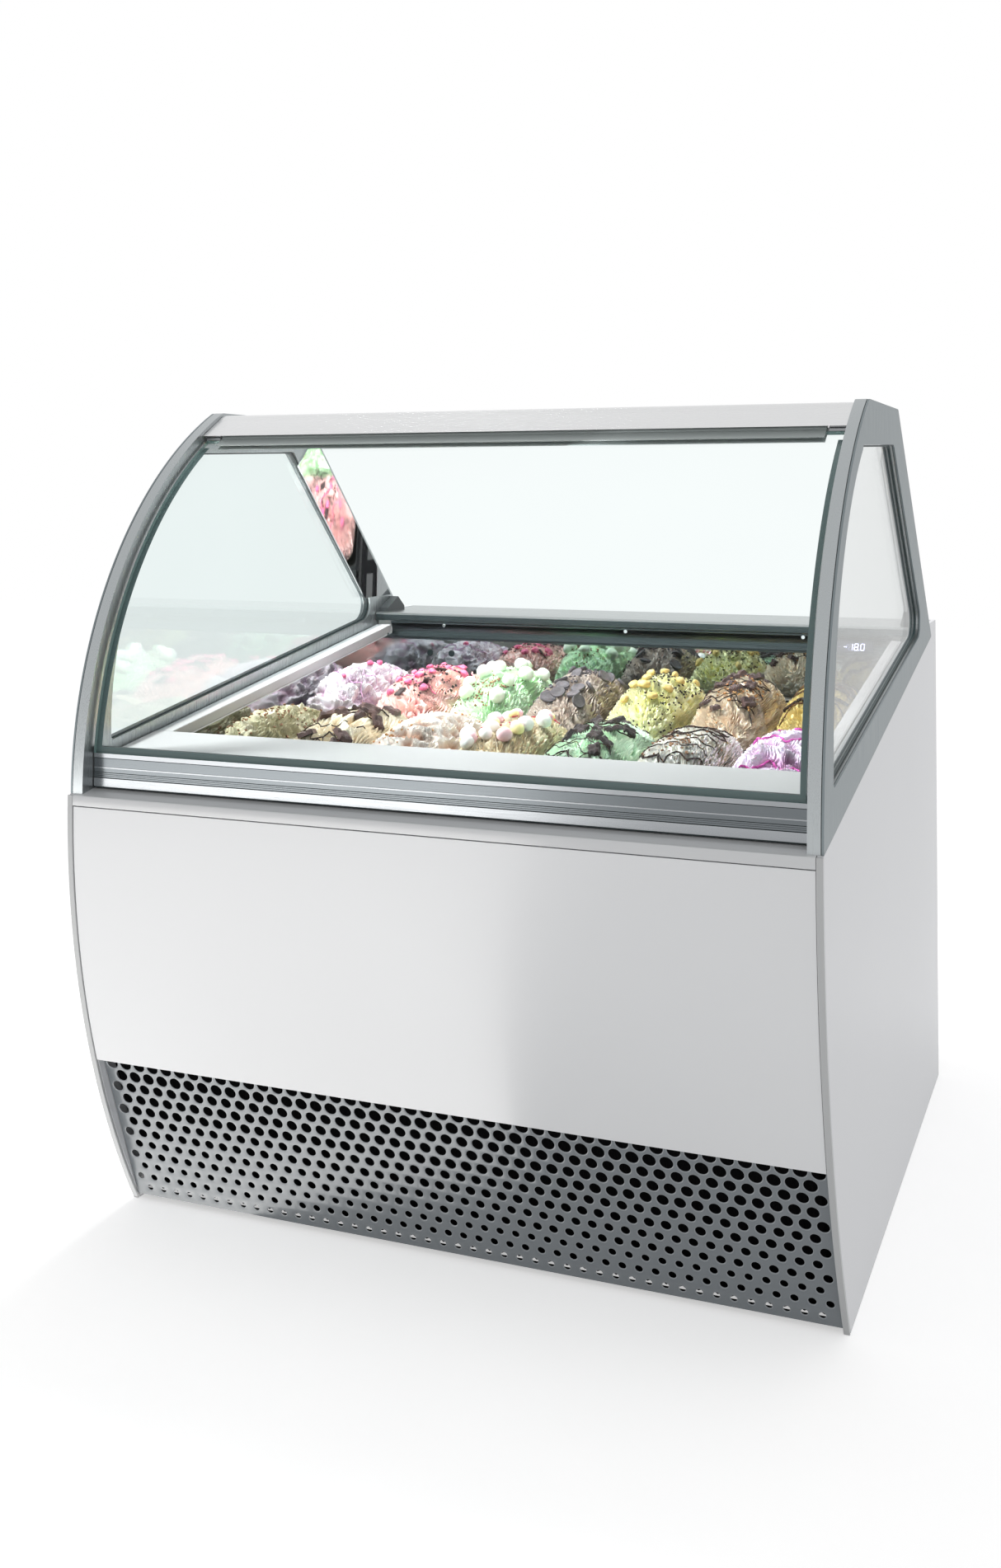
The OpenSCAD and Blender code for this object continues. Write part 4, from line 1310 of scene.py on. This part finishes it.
# Each topping's light tone, dark tone, roughness, size of its patches and depth of its grain
TOPPING_LOOKS = {
    "chocolate": ((0.115, 0.068, 0.062), (0.06, 0.035, 0.034), 0.32, 40.0, 0.12),
    "dark_chocolate": ((0.05, 0.035, 0.035), (0.025, 0.018, 0.018), 0.3, 40.0, 0.1),
    "wafer": ((0.125, 0.112, 0.12), (0.08, 0.07, 0.076), 0.6, 90.0, 0.4),
    "sauce": ((0.035, 0.018, 0.012), (0.02, 0.01, 0.008), 0.2, 20.0, 0.02),
    "caramel": ((0.16, 0.075, 0.025), (0.06, 0.03, 0.012), 0.22, 25.0, 0.05),
    "nut": ((0.78, 0.62, 0.26), (0.6, 0.42, 0.14), 0.5, 70.0, 0.3),
    "brown_crumb": ((0.30, 0.17, 0.09), (0.12, 0.06, 0.04), 0.7, 200.0, 0.5),
    "red_crumb": ((0.62, 0.06, 0.10), (0.38, 0.02, 0.05), 0.45, 200.0, 0.4),
    "berry": ((0.78, 0.20, 0.32), (0.62, 0.10, 0.22), 0.35, 120.0, 0.35),
    "seed": ((0.03, 0.028, 0.02), (0.015, 0.012, 0.01), 0.4, 100.0, 0.1),
    "white_soft": ((0.93, 0.92, 0.9), (0.86, 0.85, 0.82), 0.6, 30.0, 0.1),
    "pink_soft": ((0.93, 0.62, 0.66), (0.86, 0.5, 0.56), 0.6, 30.0, 0.1),
    "yellow_soft": ((0.95, 0.86, 0.5), (0.9, 0.78, 0.38), 0.6, 30.0, 0.1),
    "green_soft": ((0.85, 0.93, 0.8), (0.74, 0.88, 0.68), 0.5, 40.0, 0.2),
    "biscuit": ((0.55, 0.30, 0.12), (0.36, 0.17, 0.06), 0.65, 120.0, 0.5),
    "violet": ((0.55, 0.36, 0.52), (0.42, 0.24, 0.40), 0.35, 50.0, 0.05),
    "magenta": ((0.62, 0.11, 0.42), (0.42, 0.05, 0.27), 0.25, 50.0, 0.05),
}


# Row, column, slot, sculpting style, light colour, colour of the creases with painted shade, fleck colour and
# its amount
FLAVOURS = [
    ("front", 1, "cookie_cream", "crumbly", (0.52, 0.48, 0.36), (0.33, 0.31, 0.19), (0.24, 0.23, 0.13), 0.06),
    ("front", 2, "chocolate_chunk_cream", "folds", (0.78, 0.71, 0.57), (0.56, 0.43, 0.27), None, 0),
    ("front", 3, "meringue_white", "peaks", (0.74, 0.70, 0.66), (0.55, 0.36, 0.27), None, 0),
    ("front", 4, "marshmallow_cream", "folds", (0.78, 0.68, 0.50), (0.62, 0.44, 0.24), None, 0),
    ("front", 5, "mint_chocolate", "folds", (0.74, 0.90, 0.72), (0.46, 0.74, 0.50), None, 0),
    ("front", 6, "hazelnut_white", "smooth", (0.82, 0.8, 0.76), (0.58, 0.48, 0.3), (0.5, 0.38, 0.17), -0.02),
    ("front", 7, "lilac_peak", "peaks", (0.82, 0.72, 0.84), (0.62, 0.34, 0.56), (0.66, 0.18, 0.52), -0.04),
    ("rear", 1, "lilac_grey", "peaks", (0.62, 0.57, 0.61), (0.42, 0.30, 0.38), (0.48, 0.22, 0.40), -0.05),
    ("rear", 2, "berry_pink", "smooth", (0.92, 0.66, 0.62), (0.80, 0.36, 0.36), (0.80, 0.22, 0.36), -0.07),
    ("rear", 3, "pistachio_pale", "smooth", (0.74, 0.93, 0.70), (0.50, 0.84, 0.44), None, 0),
    ("rear", 4, "chocolate_brown", "folds", (0.56, 0.48, 0.43), (0.27, 0.20, 0.17), None, 0),
    ("rear", 5, "lemon_cream", "folds", (0.92, 0.91, 0.60), (0.78, 0.76, 0.20), None, 0),
    ("rear", 6, "biscuit_beige", "folds", (0.92, 0.80, 0.65), (0.66, 0.45, 0.28), (0.62, 0.34, 0.13), -0.08),
    ("rear", 7, "caramel_swirl", "swirls", (0.72, 0.58, 0.24), (0.40, 0.27, 0.07), (0.10, 0.05, 0.02), -0.02),
]

# Each pan's toppings, in the order they are set: the function, the look, then the function's own values
TOPPINGS = {
    ("front", 1): [(add_crumbs, "brown_crumb", "crumbs", 160, 3.5, 7)],
    ("front", 2): [(add_chunks, "chocolate", 12, (27, 20, 10)), (add_drizzle, "sauce", 7, 2.6)],
    ("front", 3): [(add_crumbs, "biscuit", "crumbs", 60, 3.0, 5)],
    ("front", 4): [(add_blobs, "white_soft", "white_pieces", 9, (29, 27, 24), 0.3, 0.1, 34),
                   (add_blobs, "pink_soft", "pink_pieces", 7, (27, 25, 22), 0.3, 0.1, 36),
                   (add_blobs, "yellow_soft", "yellow_pieces", 5, (26, 24, 21), 0.3, 0.1, 40),
                   (add_crumbs, "red_crumb", "red_crumbs", 60, 4.0, 6)],
    ("front", 5): [(add_chunks, "dark_chocolate", 12, (28, 20, 9)), (add_drizzle, "sauce", 8, 2.6)],
    ("front", 6): [(add_drizzle, "sauce", 11, 3.0), (add_crumbs, "brown_crumb", "crumbs", 90, 3.2, 5)],
    ("front", 7): [(add_drizzle, "magenta", 5, 4.0)],
    ("rear", 1): [(add_drizzle, "violet", 3, 2.6),
                  (add_blobs, "berry", "berries", 4, (12, 12, 10), 0.3, 0.18, 40)],
    ("rear", 2): [(add_blobs, "berry", "berries", 15, (19, 16, 13), 0.5, 0.3),
                  (add_crumbs, "dark_chocolate", "shavings", 160, 3.4, 6, 22),
                  (add_chunks, "dark_chocolate", 7, (26, 12, 4), 1.5, 0.7), (add_drizzle, "berry", 3, 3.2)],
    ("rear", 3): [(add_blobs, "green_soft", "balls", 11, (34, 31, 29), 0.2, 0.1, 42),
                  (add_crumbs, "brown_crumb", "crumbs", 230, 3.2, 5, 20)],
    ("rear", 4): [(add_wafers, "wafer", 16, 15.5), (add_crumbs, "wafer", "crumbs", 140, 4.0, 6)],
    ("rear", 5): [(add_blobs, "nut", "nuts", 12, (24, 17, 14), 0.3, 0.25, 34),
                  (add_crumbs, "seed", "seeds", 260, 3.0, 8, 34)],
    ("rear", 6): [(add_chunks, "chocolate", 14, (27, 20, 11)), (add_drizzle, "sauce", 9, 2.6),
                  (add_crumbs, "biscuit", "crumbs", 80, 4.0, 5)],
    ("rear", 7): [(add_drizzle, "caramel", 8, 4.5, 60), (add_drizzle, "sauce", 4, 7.0, 60, "swirl")],
}


def make_ice_cream():
    """Sculpts each pan's ice cream and sets its toppings on it."""
    looks = {name: topping_material(name, *look) for name, look in TOPPING_LOOKS.items()}
    for index, (row, column, slot, style, light, crease_shade, fleck, amount) in enumerate(FLAVOURS):
        mound = Mound(row, column, style, 11 + 7 * index)
        mound.build(ice_cream(slot, light, crease_shade, fleck, amount), slot)
        for add, look, *values in TOPPINGS[row, column]:
            add(mound, looks[look], slot, *values)


# ---- the machine bay's own details ----


def make_condenser_fins(metal):
    """Fins on the coil's front, within the coil's own outline."""
    low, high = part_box("condenser")
    count, thick, depth, inset, gap = 90, 0.5 * MM, 1.2 * MM, 4 * MM, 3 * MM
    fins = []
    for x in np.linspace(low.x + inset, high.x - inset, count):
        fins.append(block((x - thick / 2, low.y - depth, low.z + gap), (x + thick / 2, low.y, high.z - gap)))
    make_piece("condenser_fins", *joined(fins), [metal], slot="coil_aluminium")


# ---- put it together ----


def finish_nodes(looks):
    """Gives the CAD nodes that are shown as they are their own materials."""
    for name, material in looks.items():
        NODES[name].data.materials.clear()
        NODES[name].data.materials.append(material)


def build():
    """Makes the materials and then every piece."""
    # The side panels take the front's white paint made darker: painted shade on the sides
    white = paint("body_white", (0.68, 0.69, 0.712), 0.34)
    front_white = paint("front_white", (0.895, 0.905, 0.92), 0.24, 0.3)
    edge_grey = paint("edge_grey", (0.56, 0.57, 0.575), 0.4)
    ledge_grey = paint("ledge_grey", (0.70, 0.712, 0.725), 0.24, 1.0)
    grille_grey = paint("grille_grey", (0.20, 0.222, 0.24), 0.38, 0.15)
    # A lighter copy of the grille's paint for the hole rims: painted highlight
    grille_rim = paint("grille_rim", (0.33, 0.355, 0.375), 0.4)
    black = matt("black", (0.012, 0.012, 0.013))
    # Real seals and gaskets, and also painted shade in the rail's grooves, the frames' grooves and the rim's
    # shadow line
    dark = plastic("dark_seal", (0.018, 0.035, 0.037), 0.5)
    # One aluminium drawn in two tones: the pale one a painted highlight, the grey one painted shade
    rail_pale = brushed("rail_pale", (0.31, 0.325, 0.34), 0.22, "x", 0.04)
    rail_grey = brushed("rail_grey", (0.15, 0.165, 0.175), 0.22, "x", 0.06)
    frame_pale = brushed("frame_pale", (0.40, 0.425, 0.435), 0.3, "z", 0.03, 0.85)
    frame_grey = brushed("frame_grey", (0.20, 0.232, 0.245), 0.4, "z", 0.03, 0.6)
    bar_pale = brushed("bar_pale", (0.70, 0.705, 0.71), 0.3, "x", 0.02, 0.88)
    steel = brushed("steel", (0.50, 0.51, 0.515), 0.3, "x", 0.06)
    cove_steel = brushed("cove_steel", (0.10, 0.123, 0.13), 0.3, "x", 0.1)
    bright = polished("bright_bead", (0.93, 0.86, 0.68), 0.12)
    mirror_steel = polished("mirror_steel", (0.86, 0.87, 0.88), 0.03)
    mirror_wall = polished("mirror_wall", (0.33, 0.375, 0.375), 0.015)
    liner = polished("liner_steel", (0.70, 0.71, 0.72), 0.06)
    deck_pale = plastic("deck_pale", (0.44, 0.425, 0.43), 0.3)
    deck_grey = plastic("deck_grey", (0.34, 0.36, 0.37), 0.35)
    # The pans' steel is drawn very dark: painted shade in the gaps between the mounds
    pan_steel = brushed("pan_steel", (0.11, 0.125, 0.125), 0.3, "y", 0.2)
    glass = pane("glass_clear", (0.972, 0.998, 0.995), 0.0, 0.004)
    side_glass = pane("side_glass_clear", (0.965, 0.985, 0.982), 0.0, 0.085)
    border = simple_material("glass_border", (0.115, 0.165, 0.165), 0.25)
    edge_green = simple_material("glass_edge", (0.22, 0.32, 0.31), 0.12)
    display_plate = plastic("display_plate", (0.10, 0.10, 0.15), 0.12)
    display_glow = glow("display_glow", (0.62, 0.64, 1.0), 6.0)

    make_side_panels(white, edge_grey)
    make_front_panel(front_white)
    make_ledge(ledge_grey)
    make_rail(rail_pale, rail_grey, dark)
    make_grille(grille_grey, grille_rim, black)
    make_frames(frame_pale, frame_grey, dark)
    make_front_glass(glass, border, edge_green)
    make_top_bar(bar_pale)
    make_deck(deck_pale, deck_grey, dark)
    make_well(liner, black)
    make_counter(steel, cove_steel)
    make_control_strip(cove_steel, bright)
    make_wall_details(dark)
    make_display(display_plate, display_glow)
    make_pans(pan_steel)
    make_ice_cream()
    make_condenser_fins(brushed("fin_metal", (0.6, 0.61, 0.62), 0.4, "z"))
    finish_nodes({
        "side_glasses": side_glass,
        "glass_holder": paint("holder_grey", (0.36, 0.40, 0.395), 0.4),
        "hinge_clips": brushed("clip_metal", (0.3, 0.31, 0.32), 0.35, "x"),
        "glass_gasket": dark,
        "pillar_covers": tilted_mirror("pillar_steel", (0.74, 0.74, 0.75), (0.2, -1.0, -0.85)),
        "elbow_blocks": plastic("elbow_grey", (0.045, 0.05, 0.053), 0.45),
        "rear_mirror": mirror_wall,
        "tank": plastic("tank_white", (0.78, 0.78, 0.78), 0.4),
        # The pan supports are black as painted shade in the gaps between the pans
        "pan_supports": black,
        "air_duct": black,
        "rear_panel": paint("rear_grey", (0.42, 0.43, 0.44), 0.42),
        "chassis": paint("chassis_grey", (0.09, 0.095, 0.10), 0.5),
        "compressor": paint("compressor_black", (0.02, 0.02, 0.022), 0.3),
        "condenser": brushed("coil_metal", (0.35, 0.36, 0.37), 0.45, "z"),
        "fan_rotor": plastic("fan_plastic", (0.05, 0.05, 0.055), 0.4),
        "rocker_switch": plastic("rocker_red", (0.25, 0.01, 0.012), 0.25),
        "power_inlet": plastic("inlet_black", (0.015, 0.015, 0.016), 0.35),
        "wall_screws": mirror_steel,
    })


bpy.context.scene.view_settings.view_transform = "Standard"
build()
make_camera()
make_world()
make_floor()
key = area_light("key", (-2.6, -1.0, 2.5), (0.0, 0.0, 0.88), (0.6, 0.6), 235)
make_unseen(key)
light_only(key, ("gelato_", "topping_", "pan_", "deck_rim"))
make_unseen(area_light("top_light", (-0.5, 0.3, 2.3), (0.1, 0.05, 0.85), (0.6, 0.6), 26))
make_unseen(area_light("well_light", (-0.15, -0.16, 1.34), (0.0, 0.08, 0.85), (0.8, 0.06), 3.5))
make_reflection_card()
